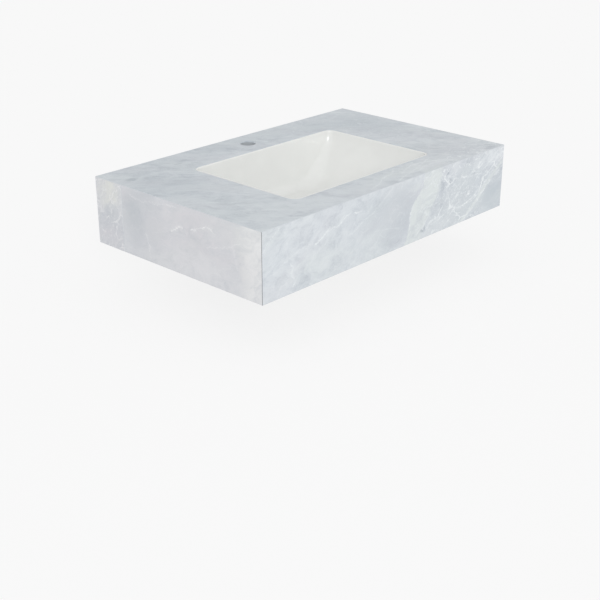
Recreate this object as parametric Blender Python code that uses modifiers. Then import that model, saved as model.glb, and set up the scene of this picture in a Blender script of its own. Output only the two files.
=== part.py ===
"""Vanity sink top: a folded stone top, the glazed basin under its cut-out, and a waste with a sprung plug.

Metres, +Z up. X runs along the front, -Y faces the user and +Y the wall. The origin lies on the
waste's axis, in the plane where the aprons stand on a cabinet.
"""

import math

import bmesh
import bpy
from mathutils import Matrix, Vector

OBJECT_NAME = "vanity_sink_top"

# Stone top
OPENING_WIDTH = 0.450
OPENING_DEPTH = 0.310
OPENING_CORNER = 0.022
SIDE_DECK = 0.175
FRONT_DECK = 0.080
REAR_DECK = 0.110
STONE_THICKNESS = 0.012
APRON_HEIGHT = 0.150
REAR_STRIP = 0.087
ARRIS = 0.001
TAP_HOLE_RADIUS = 0.0175
TAP_HOLE_ARRIS = 0.002
TAP_PLACE_SHARE = 0.44

# Strips glued inside the top
BATTEN_WIDTH = 0.015
BATTEN_THICKNESS = 0.012
REAR_RAIL_HEIGHT = 0.060
SEAM_BACKING_WIDTH = 0.060
CORNER_BATTEN_LIFT = 0.010

# Gaps between pieces
GAP = 0.0003
LIP_JOINT = 0.0015
BED_JOINT = 0.0020
STUD_PLAY = 0.0005

# Basin
LIP_WIDTH = 0.004
LIP_DROP = 0.0005
LIP_ROUND = 0.0025
FLANGE_WIDTH = 0.018
FLANGE_THICKNESS = 0.010
BOWL_DEPTH = 0.115
WALL_THICKNESS = 0.011
FLOOR_THICKNESS = 0.010
END_LEAN = 0.091
SIDE_LEAN = 0.015
FLOOR_FILLET = 0.022
FLOOR_CORNER = 0.060
FLOOR_FALL = 0.003
WASTE_SETBACK = 0.015
BOSS_WALL = 0.014
BOSS_DEPTH = 0.0265
SEAT_DEPTH = 0.003
SEAT_PLAY = 0.001
END_POWER = 1.6
SIDE_POWER = 1.3

# Overflow
OVERFLOW_DEPTH = 0.036
OVERFLOW_RADIUS = 0.012
OVERFLOW_RIM_WIDTH = 0.004
OVERFLOW_RIM_THICKNESS = 0.0025
OVERFLOW_SLEEVE_WALL = 0.0015
OVERFLOW_SLEEVE_LENGTH = 0.007
PASSAGE_WALL = 0.009
PASSAGE_DEPTH = 0.009
PASSAGE_WIDTH = 0.030
DUCT_WALL = 0.006
DUCT_ROOT = 0.004
PASSAGE_HEADROOM = 0.001

# Clips that hold the basin
CLIP_WIDTH = 0.018
CLIP_THICKNESS = 0.0025
CLIP_TOE = 0.010
CLIP_REACH = 0.015
CLIP_BEND = 0.002
CLIP_PLACE_SHARE = 0.25
STUD_RADIUS = 0.003
STUD_BASE_THICKNESS = 0.0025
STUD_TAIL = 0.004
SLOT_LENGTH = 0.010
NUT_WIDTH = 0.010
NUT_HEIGHT = 0.005
NUT_FLANGE_RADIUS = 0.0065
NUT_FLANGE_THICKNESS = 0.0015

# Waste
WASTE_FLANGE_RADIUS = 0.0325
WASTE_FLANGE_THICKNESS = 0.0024
WASTE_FLANGE_ROUND = 0.001
WASTE_TUBE_RADIUS = 0.021
WASTE_TUBE_WALL = 0.0025
WASTE_TUBE_LENGTH = 0.068
WASTE_HOLE_PLAY = 0.002
PLUG_SEAT_WIDTH = 0.0025
PLUG_SEAT_DEPTH = 0.003
WINDOW_WIDTH = 0.012
WINDOW_HEIGHT = 0.010
WINDOW_DROP = 0.008
GASKET_THICKNESS = 0.0015
GASKET_RADIUS = 0.031
CONE_RADIUS = 0.031
CONE_HEIGHT = 0.008
CONE_NOSE = 0.003
CONE_TAPER = 0.002
SLIP_RADIUS = 0.029
SLIP_THICKNESS = 0.002
BACK_NUT_WIDTH = 0.058
BACK_NUT_HEIGHT = 0.011
BACK_NUT_CHAMFER = 0.002

# Tailpiece
TAIL_RADIUS = 0.016
TAIL_WALL = 0.0015
TAIL_LENGTH = 0.068
TAIL_SHOULDER = 0.004
SPIGOT_LENGTH = 0.012
GROOVE_DEPTH = 0.002
GROOVE_HEIGHT = 0.0026
GROOVE_PLACE_SHARE = 0.5

# Bridge and cartridge
HUB_RADIUS = 0.011
HUB_HEIGHT = 0.010
HUB_DROP = 0.031
ARM_WIDTH = 0.003
ARM_HEIGHT = 0.008
CARTRIDGE_RADIUS = 0.008
CARTRIDGE_NECK = 0.0067
CARTRIDGE_LENGTH = 0.022
CARTRIDGE_COLLAR_WIDTH = 0.003
CARTRIDGE_COLLAR_HEIGHT = 0.003
CHAMBER_RADIUS = 0.006
CHAMBER_ROOF = 0.003
BASE_SPIGOT = 0.004
BASE_RIM = 0.003

# Plug and its spring
PLUG_TRAVEL = 0.008
PLUG_SHUT_GAP = 0.0005
PLUG_RADIUS = 0.030
PLUG_RIM = 0.0025
PLUG_CROWN = 0.0025
PLUG_SKIRT_RADIUS = 0.0175
PLUG_SKIRT_DEPTH = 0.0038
PLUG_GROOVE_DEPTH = 0.0012
SEAL_RADIUS = 0.0012
SEAL_PLACE_SHARE = 0.5
STEM_RADIUS = 0.004
STEM_SOCKET_DEPTH = 0.004
PISTON_HEIGHT = 0.004
SPRING_WIRE_RADIUS = 0.0006
SPRING_END_GAP = 0.0006
SPRING_CURLS = 7

# Counts
CORNER_STEPS = 8
WALL_LEVELS = 9
ROUND_STEPS = 32
SMALL_STEPS = 16
BEND_STEPS = 3
CROWN_LEVELS = 5
RING_SECTION_STEPS = 8
CURL_POINTS = 9
ARM_COUNT = 3
WINDOW_PAIRS = 2
NUT_SIDES = 6

# Cutters run past what they cut by this much, and cuts within the tolerance are one
OVERRUN = 0.004
TOLERANCE = 0.000001
SHARP_ANGLE = math.radians(35)

# Places worked out from the sizes above
BOWL_Y = -WASTE_SETBACK
HALF_OPENING_X = OPENING_WIDTH / 2
HALF_OPENING_Y = OPENING_DEPTH / 2
HALF_WIDTH = HALF_OPENING_X + SIDE_DECK
FRONT = BOWL_Y - HALF_OPENING_Y - FRONT_DECK
REAR = BOWL_Y + HALF_OPENING_Y + REAR_DECK
TOP = APRON_HEIGHT
UNDERSIDE = TOP - STONE_THICKNESS
SEAM_Y = REAR - REAR_STRIP
GLUE_X = HALF_WIDTH - STONE_THICKNESS - GAP
GLUE_Y = FRONT + STONE_THICKNESS + GAP
GLUE_Z = UNDERSIDE - GAP
RAIL_Y = REAR - STONE_THICKNESS
LIP_TOP = TOP - LIP_DROP
FLANGE_TOP = UNDERSIDE - BED_JOINT
FLANGE_BOTTOM = FLANGE_TOP - FLANGE_THICKNESS
TAP_Y = BOWL_Y + HALF_OPENING_Y + FLANGE_WIDTH
TAP_Y += TAP_PLACE_SHARE * (REAR_DECK - STONE_THICKNESS - FLANGE_WIDTH)
DRAIN_Z = LIP_TOP - BOWL_DEPTH - FLOOR_FALL
SEAT_Z = DRAIN_Z - SEAT_DEPTH
BOSS_Z = SEAT_Z - BOSS_DEPTH
WASTE_HOLE_RADIUS = WASTE_TUBE_RADIUS + WASTE_HOLE_PLAY
BOSS_RADIUS = WASTE_HOLE_RADIUS + BOSS_WALL
SEAT_RADIUS = WASTE_FLANGE_RADIUS + SEAT_PLAY
PASSAGE_FAR = PASSAGE_WALL + PASSAGE_DEPTH
DUCT_FAR = PASSAGE_FAR + DUCT_WALL
DUCT_WIDTH = PASSAGE_WIDTH + 2 * DUCT_WALL
WASTE_RIM_Z = SEAT_Z + GASKET_THICKNESS + 2 * GAP
WASTE_TOP = WASTE_RIM_Z + WASTE_FLANGE_THICKNESS
WASTE_END = WASTE_TOP - WASTE_TUBE_LENGTH
WASTE_BORE = WASTE_TUBE_RADIUS - WASTE_TUBE_WALL
THREAD_RADIUS = WASTE_TUBE_RADIUS + GAP
HUB_TOP = WASTE_TOP - HUB_DROP
CARTRIDGE_TOP = HUB_TOP + GAP + CARTRIDGE_COLLAR_HEIGHT + CARTRIDGE_NECK
CARTRIDGE_END = HUB_TOP - HUB_HEIGHT - CARTRIDGE_LENGTH
CHAMBER_TOP = CARTRIDGE_TOP - CHAMBER_ROOF
PISTON_TOP = CHAMBER_TOP - GAP
SPRING_FOOT = CARTRIDGE_END + BASE_SPIGOT + GAP
SPRING_HEAD = PISTON_TOP - PISTON_HEIGHT - GAP
PLUG_UNDERSIDE = WASTE_TOP + PLUG_SHUT_GAP + PLUG_TRAVEL
PLUG_GROOVE_RADIUS = PLUG_SKIRT_RADIUS - PLUG_GROOVE_DEPTH
SEAL_Z = PLUG_UNDERSIDE - SEAL_PLACE_SHARE * PLUG_SKIRT_DEPTH


def clear_scene():
    for item in list(bpy.data.objects):
        bpy.data.objects.remove(item, do_unlink=True)


def new_collection(name):
    made = bpy.data.collections.new(name)
    bpy.context.scene.collection.children.link(made)
    return made


def new_material(name, colour, roughness, metallic=0.0):
    made = bpy.data.materials.new(name)
    made.use_nodes = True
    shader = made.node_tree.nodes["Principled BSDF"]
    shader.inputs["Base Color"].default_value = (*colour, 1.0)
    shader.inputs["Roughness"].default_value = roughness
    shader.inputs["Metallic"].default_value = metallic
    made.diffuse_color = (*colour, 1.0)
    return made


def new_object(name, mesh, material=None):
    """A part in the part collection or, with no material, a cutter in the cutter collection."""
    made = bpy.data.objects.new(name, mesh)
    if material:
        mesh.materials.clear()
        mesh.materials.append(material)
        bpy.data.collections[OBJECT_NAME].objects.link(made)
    else:
        made.hide_render = True
        made.display_type = "WIRE"
        bpy.data.collections["cutters"].objects.link(made)
    return made


def mesh_of(name, solid):
    """Turns a bmesh into a mesh whose faces point out."""
    bmesh.ops.recalc_face_normals(solid, faces=solid.faces[:])
    mesh = bpy.data.meshes.new(name)
    solid.to_mesh(mesh)
    solid.free()
    return mesh


def baked(shape, name):
    """The mesh that an object's modifiers or curve make, with its ends welded, in the object's own frame."""
    bpy.context.view_layer.update()
    graph = bpy.context.evaluated_depsgraph_get()
    mesh = bpy.data.meshes.new_from_object(shape.evaluated_get(graph))
    mesh.name = name
    solid = bmesh.new()
    solid.from_mesh(mesh)
    bmesh.ops.remove_doubles(solid, verts=solid.verts[:], dist=TOLERANCE)
    bmesh.ops.recalc_face_normals(solid, faces=solid.faces[:])
    solid.to_mesh(mesh)
    solid.free()
    bpy.data.objects.remove(shape, do_unlink=True)
    return mesh


def smooth(mesh):
    mesh.shade_smooth()
    mesh.set_sharp_from_angle(angle=SHARP_ANGLE)
    return mesh


def block(low, high):
    """A bmesh box between two corners."""
    solid = bmesh.new()
    low, high = Vector(low), Vector(high)
    size = Matrix.Diagonal((*(high - low), 1))
    bmesh.ops.create_cube(solid, size=1, matrix=Matrix.Translation((low + high) / 2) @ size)
    return solid


def saw(solid, point, normal):
    """Cuts away what lies beyond the plane and closes the cut."""
    everything = solid.verts[:] + solid.edges[:] + solid.faces[:]
    cut = bmesh.ops.bisect_plane(
        solid, geom=everything, dist=TOLERANCE, plane_co=point, plane_no=normal, clear_outer=True
    )
    rim = [item for item in cut["geom_cut"] if isinstance(item, bmesh.types.BMEdge)]
    bmesh.ops.contextual_create(solid, geom=rim)


def mitre(solid, edge, outward):
    """Saws half the joint's gap off along the 45 degree plane through an edge."""
    normal = Vector(outward).normalized()
    saw(solid, Vector(edge) - normal * GAP / 2, normal)


def ease(solid, edge, outward):
    """Chamfers an edge by the arris."""
    normal = Vector(outward).normalized()
    saw(solid, Vector(edge) - normal * ARRIS / math.sqrt(2), normal)


def turned(name, profile, steps, material=None):
    """Revolves a profile about Z. It runs down its outer side, and closes unless it ends on the axis."""
    mesh = bpy.data.meshes.new(name)
    links = [(i, i + 1) for i in range(len(profile) - 1)]
    if profile[0][0] > 0:
        links.append((len(profile) - 1, 0))
    mesh.from_pydata([(radius, 0, height) for radius, height in profile], links, [])
    guide = new_object(name + "_profile", mesh)
    screw = guide.modifiers.new("turn", "SCREW")
    screw.steps = screw.render_steps = steps
    screw.use_merge_vertices = True
    screw.merge_threshold = TOLERANCE
    return new_object(name, smooth(baked(guide, name)), material)


def extruded(name, outline, half_thickness, turn, material=None):
    """Fills a flat outline and gives it thickness both ways. The matrix turns it to its plane."""
    curve = bpy.data.curves.new(name, "CURVE")
    curve.dimensions = "2D"
    curve.fill_mode = "BOTH"
    curve.extrude = half_thickness
    line = curve.splines.new("POLY")
    line.points.add(len(outline) - 1)
    for point, (x, y) in zip(line.points, outline):
        point.co = (x, y, 0, 1)
    line.use_cyclic_u = True
    guide = bpy.data.objects.new(name + "_outline", curve)
    bpy.data.collections["cutters"].objects.link(guide)
    mesh = baked(guide, name)
    mesh.transform(turn)
    return new_object(name, mesh, material)


def loft(name, rings, closed, material=None):
    """A skin through rings of equal count. A closed one joins its last ring to its first."""
    solid = bmesh.new()
    rows = [[solid.verts.new(point) for point in ring] for ring in rings]
    count = len(rings[0])
    following = rows[1:] + rows[:1] if closed else rows[1:]
    for row, below in zip(rows, following):
        for i in range(count):
            j = (i + 1) % count
            solid.faces.new((row[i], row[j], below[j], below[i]))
    if not closed:
        solid.faces.new(rows[0])
        solid.faces.new(rows[-1])
    return new_object(name, smooth(mesh_of(name, solid)), material)


def ring(half_x, half_y, corner, height, centre_y):
    """One level of a loft: a rectangle with round corners, or a circle where the corner fills it."""
    points = []
    for quarter in range(4):
        side_x = 1 if quarter in (0, 3) else -1
        side_y = 1 if quarter in (0, 1) else -1
        for step in range(CORNER_STEPS):
            angle = (quarter + (step + 0.5) / CORNER_STEPS) * math.pi / 2
            x = side_x * (half_x - corner) + corner * math.cos(angle)
            y = side_y * (half_y - corner) + corner * math.sin(angle)
            points.append((x, centre_y + y, height))
    return points


def opening_ring(outward, height):
    """A ring parallel to the cut-out, set outward from its edge."""
    return ring(
        HALF_OPENING_X + outward, HALF_OPENING_Y + outward, OPENING_CORNER + outward, height, BOWL_Y
    )


def drain_ring(radius, height):
    return ring(radius, radius, radius, height, 0)


def boolean(part, operation, other):
    made = part.modifiers.new(other.name, "BOOLEAN")
    made.operation = operation
    made.object = other
    made.solver = "EXACT"


def top_slab(stone):
    solid = block((-HALF_WIDTH, FRONT, UNDERSIDE), (HALF_WIDTH, REAR, TOP))
    mitre(solid, (0, FRONT, TOP), (0, -1, -1))
    ease(solid, (0, FRONT, TOP), (0, -1, 1))
    for side in (-1, 1):
        mitre(solid, (side * HALF_WIDTH, 0, TOP), (side, 0, -1))
        ease(solid, (side * HALF_WIDTH, 0, TOP), (side, 0, 1))
    ease(solid, (0, REAR, TOP), (0, 1, 1))
    slab = new_object("top_slab", mesh_of("top_slab", solid), stone)
    flare = ARRIS + OVERRUN
    levels = [(0, UNDERSIDE - OVERRUN), (0, TOP - ARRIS), (flare, TOP + OVERRUN)]
    rings = [opening_ring(outward, height) for outward, height in levels]
    boolean(slab, "DIFFERENCE", loft("cut_basin_opening", rings, False))
    profile = [
        (0, TOP + OVERRUN),
        (TAP_HOLE_RADIUS + TAP_HOLE_ARRIS + OVERRUN, TOP + OVERRUN),
        (TAP_HOLE_RADIUS, TOP - TAP_HOLE_ARRIS),
        (TAP_HOLE_RADIUS, UNDERSIDE - OVERRUN),
        (0, UNDERSIDE - OVERRUN),
    ]
    hole = turned("cut_tap_hole", profile, ROUND_STEPS)
    hole.location = (0, TAP_Y, 0)
    boolean(slab, "DIFFERENCE", hole)


def front_apron(stone):
    solid = block((-HALF_WIDTH, FRONT, 0), (HALF_WIDTH, FRONT + STONE_THICKNESS, TOP))
    mitre(solid, (0, FRONT, TOP), (0, 1, 1))
    ease(solid, (0, FRONT, TOP), (0, -1, 1))
    ease(solid, (0, FRONT, 0), (0, -1, -1))
    for side in (-1, 1):
        mitre(solid, (side * HALF_WIDTH, FRONT, 0), (side, 1, 0))
        ease(solid, (side * HALF_WIDTH, FRONT, 0), (side, -1, 0))
    new_object("front_apron", mesh_of("front_apron", solid), stone)


def side_apron(name, side, start, end, stone):
    """One length of a side apron. The length that starts at the front is mitred there."""
    edge = side * HALF_WIDTH
    inner = side * (HALF_WIDTH - STONE_THICKNESS)
    solid = block((min(edge, inner), start, 0), (max(edge, inner), end, TOP))
    mitre(solid, (edge, 0, TOP), (-side, 0, 1))
    ease(solid, (edge, 0, TOP), (side, 0, 1))
    ease(solid, (edge, 0, 0), (side, 0, -1))
    if start == FRONT:
        mitre(solid, (edge, FRONT, 0), (-side, -1, 0))
        ease(solid, (edge, FRONT, 0), (side, -1, 0))
    else:
        ease(solid, (edge, start, 0), (side, -1, 0))
    ease(solid, (edge, end, 0), (side, 1, 0))
    new_object(name, mesh_of(name, solid), stone)


def aprons(stone):
    front_apron(stone)
    for name, side in (("left", -1), ("right", 1)):
        side_apron(name + "_apron", side, FRONT, SEAM_Y - GAP / 2, stone)
        side_apron(name + "_apron_rear", side, SEAM_Y + GAP / 2, REAR, stone)


def strip(name, low, high, stone):
    new_object(name, mesh_of(name, block(low, high)), stone)


def glued_strips(stone):
    """The rear rail, and the battens and plates behind the joints."""
    batten_z = GLUE_Z - BATTEN_THICKNESS
    strip("rear_rail", (-GLUE_X, RAIL_Y, UNDERSIDE - REAR_RAIL_HEIGHT), (GLUE_X, REAR, GLUE_Z), stone)
    strip("front_batten", (-GLUE_X, GLUE_Y, batten_z), (GLUE_X, GLUE_Y + BATTEN_WIDTH, GLUE_Z), stone)
    for name, side in (("left", -1), ("right", 1)):
        outer = side * GLUE_X
        inner = side * (GLUE_X - BATTEN_WIDTH)
        plate = side * (GLUE_X - BATTEN_THICKNESS)
        strip(
            name + "_batten",
            (min(outer, inner), GLUE_Y + BATTEN_WIDTH + GAP, batten_z),
            (max(outer, inner), RAIL_Y - GAP, GLUE_Z),
            stone,
        )
        strip(
            name + "_corner_batten",
            (min(outer, inner), GLUE_Y, CORNER_BATTEN_LIFT),
            (max(outer, inner), GLUE_Y + BATTEN_THICKNESS, batten_z - GAP),
            stone,
        )
        strip(
            name + "_seam_backing",
            (min(outer, plate), SEAM_Y - SEAM_BACKING_WIDTH / 2, CORNER_BATTEN_LIFT),
            (max(outer, plate), SEAM_Y + SEAM_BACKING_WIDTH / 2, batten_z - GAP),
            stone,
        )


def wall_inset(share, lean, power):
    """How far the bowl's wall has come in at a share of its depth: a lean, then the floor's fillet."""
    turn = max(0, 1 - BOWL_DEPTH * (1 - share) / FLOOR_FILLET)
    return lean * share**power + FLOOR_FILLET * (1 - math.sqrt(1 - turn * turn))


def bowl_ring(share, outward=0, down=0):
    """The bowl's inside at a share of its depth, or its outside by a wall and a floor further out."""
    start = outward - LIP_JOINT - LIP_WIDTH
    corner = OPENING_CORNER + start
    corner += (FLOOR_CORNER - OPENING_CORNER) * share * share
    return ring(
        HALF_OPENING_X + start - wall_inset(share, END_LEAN, END_POWER),
        HALF_OPENING_Y + start - wall_inset(share, SIDE_LEAN, SIDE_POWER),
        corner,
        LIP_TOP - share * (BOWL_DEPTH + down),
        BOWL_Y,
    )


def wall_shares():
    """Levels down the bowl's wall, closer together towards the floor."""
    return [math.sin(math.pi / 2 * level / WALL_LEVELS) for level in range(1, WALL_LEVELS + 1)]


def basin_rings():
    """The basin's rings in order: up the inside from the waste hole, over the lip, and down the outside."""
    outer_foot = DRAIN_Z - FLOOR_THICKNESS
    round_45 = LIP_ROUND * (1 - math.sqrt(0.5))
    lip_inside = -LIP_JOINT - LIP_WIDTH
    inside = [
        drain_ring(WASTE_HOLE_RADIUS, BOSS_Z),
        drain_ring(WASTE_HOLE_RADIUS, SEAT_Z),
        drain_ring(SEAT_RADIUS, SEAT_Z),
        drain_ring(SEAT_RADIUS, DRAIN_Z - ARRIS),
        drain_ring(SEAT_RADIUS + ARRIS, DRAIN_Z),
    ]
    inside += [bowl_ring(share) for share in reversed(wall_shares())]
    lip = [
        opening_ring(lip_inside, LIP_TOP - LIP_ROUND),
        opening_ring(lip_inside + round_45, LIP_TOP - round_45),
        opening_ring(lip_inside + LIP_ROUND, LIP_TOP),
        opening_ring(-LIP_JOINT - ARRIS, LIP_TOP),
        opening_ring(-LIP_JOINT, LIP_TOP - ARRIS),
        opening_ring(-LIP_JOINT, FLANGE_TOP),
        opening_ring(FLANGE_WIDTH - ARRIS, FLANGE_TOP),
        opening_ring(FLANGE_WIDTH, FLANGE_TOP - ARRIS),
        opening_ring(FLANGE_WIDTH, FLANGE_BOTTOM),
    ]
    start = (LIP_TOP - FLANGE_BOTTOM) / (BOWL_DEPTH + FLOOR_THICKNESS)
    shares = [start] + [share for share in wall_shares() if share > start + TOLERANCE]
    outside = [bowl_ring(share, WALL_THICKNESS, FLOOR_THICKNESS) for share in shares]
    boss = [
        drain_ring(BOSS_RADIUS, outer_foot),
        drain_ring(BOSS_RADIUS, BOSS_Z + ARRIS),
        drain_ring(BOSS_RADIUS - ARRIS, BOSS_Z),
    ]
    return inside + lip + outside + boss


def front_wall_point(share, offset):
    """A (y, z) point on the front wall's inside line, moved into the wall along its normal."""
    step = TOLERANCE / BOWL_DEPTH
    after = wall_inset(min(1, share + step), SIDE_LEAN, SIDE_POWER)
    before = wall_inset(max(0, share - step), SIDE_LEAN, SIDE_POWER)
    run = after - before
    drop = BOWL_DEPTH * (min(1, share + step) - max(0, share - step))
    length = math.hypot(run, drop)
    wall_y = BOWL_Y - HALF_OPENING_Y + LIP_JOINT + LIP_WIDTH
    y = wall_y + wall_inset(share, SIDE_LEAN, SIDE_POWER)
    z = LIP_TOP - share * BOWL_DEPTH
    return (y - offset * drop / length, z - offset * run / length)


def duct_outline(name, near, far, top, end_y, half_width):
    """The overflow duct or its passage: a band beside the front wall and under the floor."""
    start = (LIP_TOP - top) / BOWL_DEPTH
    last = 1 - TOLERANCE / BOWL_DEPTH
    shares = [start] + [share for share in wall_shares()[:-1] if share > start] + [last]
    near_line = [front_wall_point(share, near) for share in shares] + [(end_y, DRAIN_Z - near)]
    far_line = [front_wall_point(share, far) for share in shares] + [(end_y, DRAIN_Z - far)]
    outline = far_line + near_line[::-1]
    upright = Matrix(((0, 0, 1, 0), (1, 0, 0, 0), (0, 1, 0, 0), (0, 0, 0, 1)))
    return extruded(name, outline, half_width, upright)


def overflow_frame():
    """Places a turned piece in the overflow hole: its +Z points into the bowl, square to the wall."""
    share = OVERFLOW_DEPTH / BOWL_DEPTH
    y, z = front_wall_point(share, 0)
    deeper_y, deeper_z = front_wall_point(share, PASSAGE_WALL)
    inward = Vector((0, y - deeper_y, z - deeper_z)).normalized()
    return Matrix.Translation((0, y, z)) @ Vector((0, 0, 1)).rotation_difference(inward).to_matrix().to_4x4()


def basin(ceramic):
    body = loft("basin", basin_rings(), True, ceramic)
    duct_half = DUCT_WIDTH / 2
    reach = (math.sqrt(BOSS_RADIUS**2 - duct_half**2) + WASTE_HOLE_RADIUS) / 2
    duct_top = FLANGE_BOTTOM + FLANGE_THICKNESS / 2
    duct = duct_outline("join_overflow_duct", DUCT_ROOT, DUCT_FAR, duct_top, -reach, duct_half)
    passage_top = LIP_TOP - OVERFLOW_DEPTH + OVERFLOW_RADIUS + PASSAGE_HEADROOM
    passage = duct_outline(
        "cut_overflow_passage",
        PASSAGE_WALL,
        PASSAGE_FAR,
        passage_top,
        -WASTE_HOLE_RADIUS / 2,
        PASSAGE_WIDTH / 2,
    )
    profile = [
        (0, OVERRUN),
        (OVERFLOW_RADIUS, OVERRUN),
        (OVERFLOW_RADIUS, -PASSAGE_WALL - PASSAGE_DEPTH / 2),
        (0, -PASSAGE_WALL - PASSAGE_DEPTH / 2),
    ]
    hole = turned("cut_overflow_hole", profile, ROUND_STEPS)
    hole.matrix_world = overflow_frame()
    boolean(body, "UNION", duct)
    boolean(body, "DIFFERENCE", passage)
    boolean(body, "DIFFERENCE", hole)


def overflow_ring(chrome):
    outer = OVERFLOW_RADIUS - GAP
    bore = outer - OVERFLOW_SLEEVE_WALL
    rim = outer + OVERFLOW_RIM_WIDTH
    face = GAP + OVERFLOW_RIM_THICKNESS
    profile = [
        (bore + ARRIS, face),
        (rim - ARRIS, face),
        (rim, face - ARRIS),
        (rim, GAP),
        (outer, GAP),
        (outer, -OVERFLOW_SLEEVE_LENGTH),
        (bore, -OVERFLOW_SLEEVE_LENGTH),
        (bore, face - ARRIS),
    ]
    made = turned("overflow_ring", profile, ROUND_STEPS, chrome)
    made.matrix_world = overflow_frame()


def basin_sealant(silicone):
    bed_edge = FLANGE_WIDTH - ARRIS
    levels = [
        (-LIP_JOINT + GAP, FLANGE_TOP + GAP),
        (-LIP_JOINT + GAP, TOP - 2 * ARRIS),
        (-GAP, TOP - 2 * ARRIS),
        (-GAP, GLUE_Z),
        (bed_edge, GLUE_Z),
        (bed_edge, FLANGE_TOP + GAP),
    ]
    loft("basin_sealant", [opening_ring(outward, z) for outward, z in levels], True, silicone)


def clip_places():
    """Matrices whose +X points away from the basin, from the flange's edge at each clip."""
    spread = CLIP_PLACE_SHARE * OPENING_WIDTH
    edge_x = HALF_OPENING_X + FLANGE_WIDTH
    edge_y = HALF_OPENING_Y + FLANGE_WIDTH
    places = []
    for x in (-spread, spread):
        places.append((x, BOWL_Y - edge_y, -math.pi / 2))
        places.append((x, BOWL_Y + edge_y, math.pi / 2))
    places.append((edge_x, BOWL_Y, 0))
    places.append((-edge_x, BOWL_Y, math.pi))
    return [Matrix.Translation((x, y, 0)) @ Matrix.Rotation(turn, 4, "Z") for x, y, turn in places]


def clip_mesh():
    """A strip whose toe presses on the flange and whose bent heel stands against the slab."""
    under = FLANGE_BOTTOM - GAP
    heel = CLIP_REACH + CLIP_THICKNESS
    outline = [(-CLIP_TOE, under - CLIP_THICKNESS)]
    for step in range(BEND_STEPS + 1):
        angle = math.pi / 2 * (step / BEND_STEPS - 1)
        outline.append(
            (
                heel - CLIP_BEND + CLIP_BEND * math.cos(angle),
                under - CLIP_THICKNESS + CLIP_BEND + CLIP_BEND * math.sin(angle),
            )
        )
    outline += [(heel, GLUE_Z), (CLIP_REACH, GLUE_Z), (CLIP_REACH, under), (-CLIP_TOE, under)]
    upright = Matrix(((1, 0, 0, 0), (0, 0, -1, 0), (0, 1, 0, 0), (0, 0, 0, 1)))
    strip_shape = extruded("clip_pattern", outline, CLIP_WIDTH / 2, upright)
    radius = STUD_RADIUS + GAP
    straight = SLOT_LENGTH / 2 - radius
    slot_line = []
    for step in range(SMALL_STEPS):
        angle = 2 * math.pi * (step + 0.5) / SMALL_STEPS
        shift = math.copysign(straight, math.cos(angle))
        slot_line.append((shift + radius * math.cos(angle), radius * math.sin(angle)))
    place = Matrix.Translation((CLIP_REACH / 2, 0, under - CLIP_THICKNESS / 2))
    boolean(strip_shape, "DIFFERENCE", extruded("cut_clip_slot", slot_line, CLIP_THICKNESS, place))
    return baked(strip_shape, "basin_clip")


def stud_profile():
    """A glued round foot and the rod that hangs from it."""
    foot = CLIP_REACH / 2 - STUD_PLAY
    foot_z = GLUE_Z - STUD_BASE_THICKNESS
    end = FLANGE_BOTTOM - 2 * GAP - CLIP_THICKNESS - NUT_HEIGHT - STUD_TAIL
    return [
        (0, GLUE_Z),
        (foot, GLUE_Z),
        (foot, foot_z),
        (STUD_RADIUS, foot_z),
        (STUD_RADIUS, end),
        (0, end),
    ]


def nut_mesh():
    """A flanged hexagon nut, with its flange up against the clip."""
    top = FLANGE_BOTTOM - 2 * GAP - CLIP_THICKNESS
    flange = [
        (STUD_RADIUS + GAP, top),
        (NUT_FLANGE_RADIUS, top),
        (NUT_FLANGE_RADIUS, top - NUT_FLANGE_THICKNESS),
        (STUD_RADIUS + GAP, top - NUT_FLANGE_THICKNESS - GAP),
    ]
    nut = turned("nut_pattern", flange, SMALL_STEPS)
    corner = NUT_WIDTH / 2 / math.cos(math.pi / NUT_SIDES)
    hexagon = bmesh.new()
    bmesh.ops.create_cone(
        hexagon,
        cap_ends=True,
        segments=NUT_SIDES,
        radius1=corner,
        radius2=corner,
        depth=NUT_HEIGHT - GAP,
        matrix=Matrix.Translation((0, 0, top - (NUT_HEIGHT + GAP) / 2)),
    )
    body = new_object("join_nut_hexagon", mesh_of("join_nut_hexagon", hexagon))
    bore = [
        (0, top + OVERRUN),
        (STUD_RADIUS + GAP, top + OVERRUN),
        (STUD_RADIUS + GAP, top - NUT_HEIGHT - OVERRUN),
        (0, top - NUT_HEIGHT - OVERRUN),
    ]
    boolean(nut, "UNION", body)
    boolean(nut, "DIFFERENCE", turned("cut_nut_bore", bore, SMALL_STEPS))
    return baked(nut, "clip_nut")


def clips(steel):
    clip = clip_mesh()
    stud = turned("stud_pattern", stud_profile(), SMALL_STEPS)
    stud_mesh = smooth(baked(stud, "clip_stud"))
    nut = nut_mesh()
    for number, place in enumerate(clip_places(), 1):
        stud_place = place @ Matrix.Translation((CLIP_REACH / 2, 0, 0))
        pieces = (("basin_clip", clip, place), ("clip_stud", stud_mesh, stud_place))
        for name, mesh, matrix in (*pieces, ("clip_nut", nut, stud_place)):
            made = new_object(f"{name}_{number}", mesh.copy(), steel)
            made.matrix_world = matrix


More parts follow.
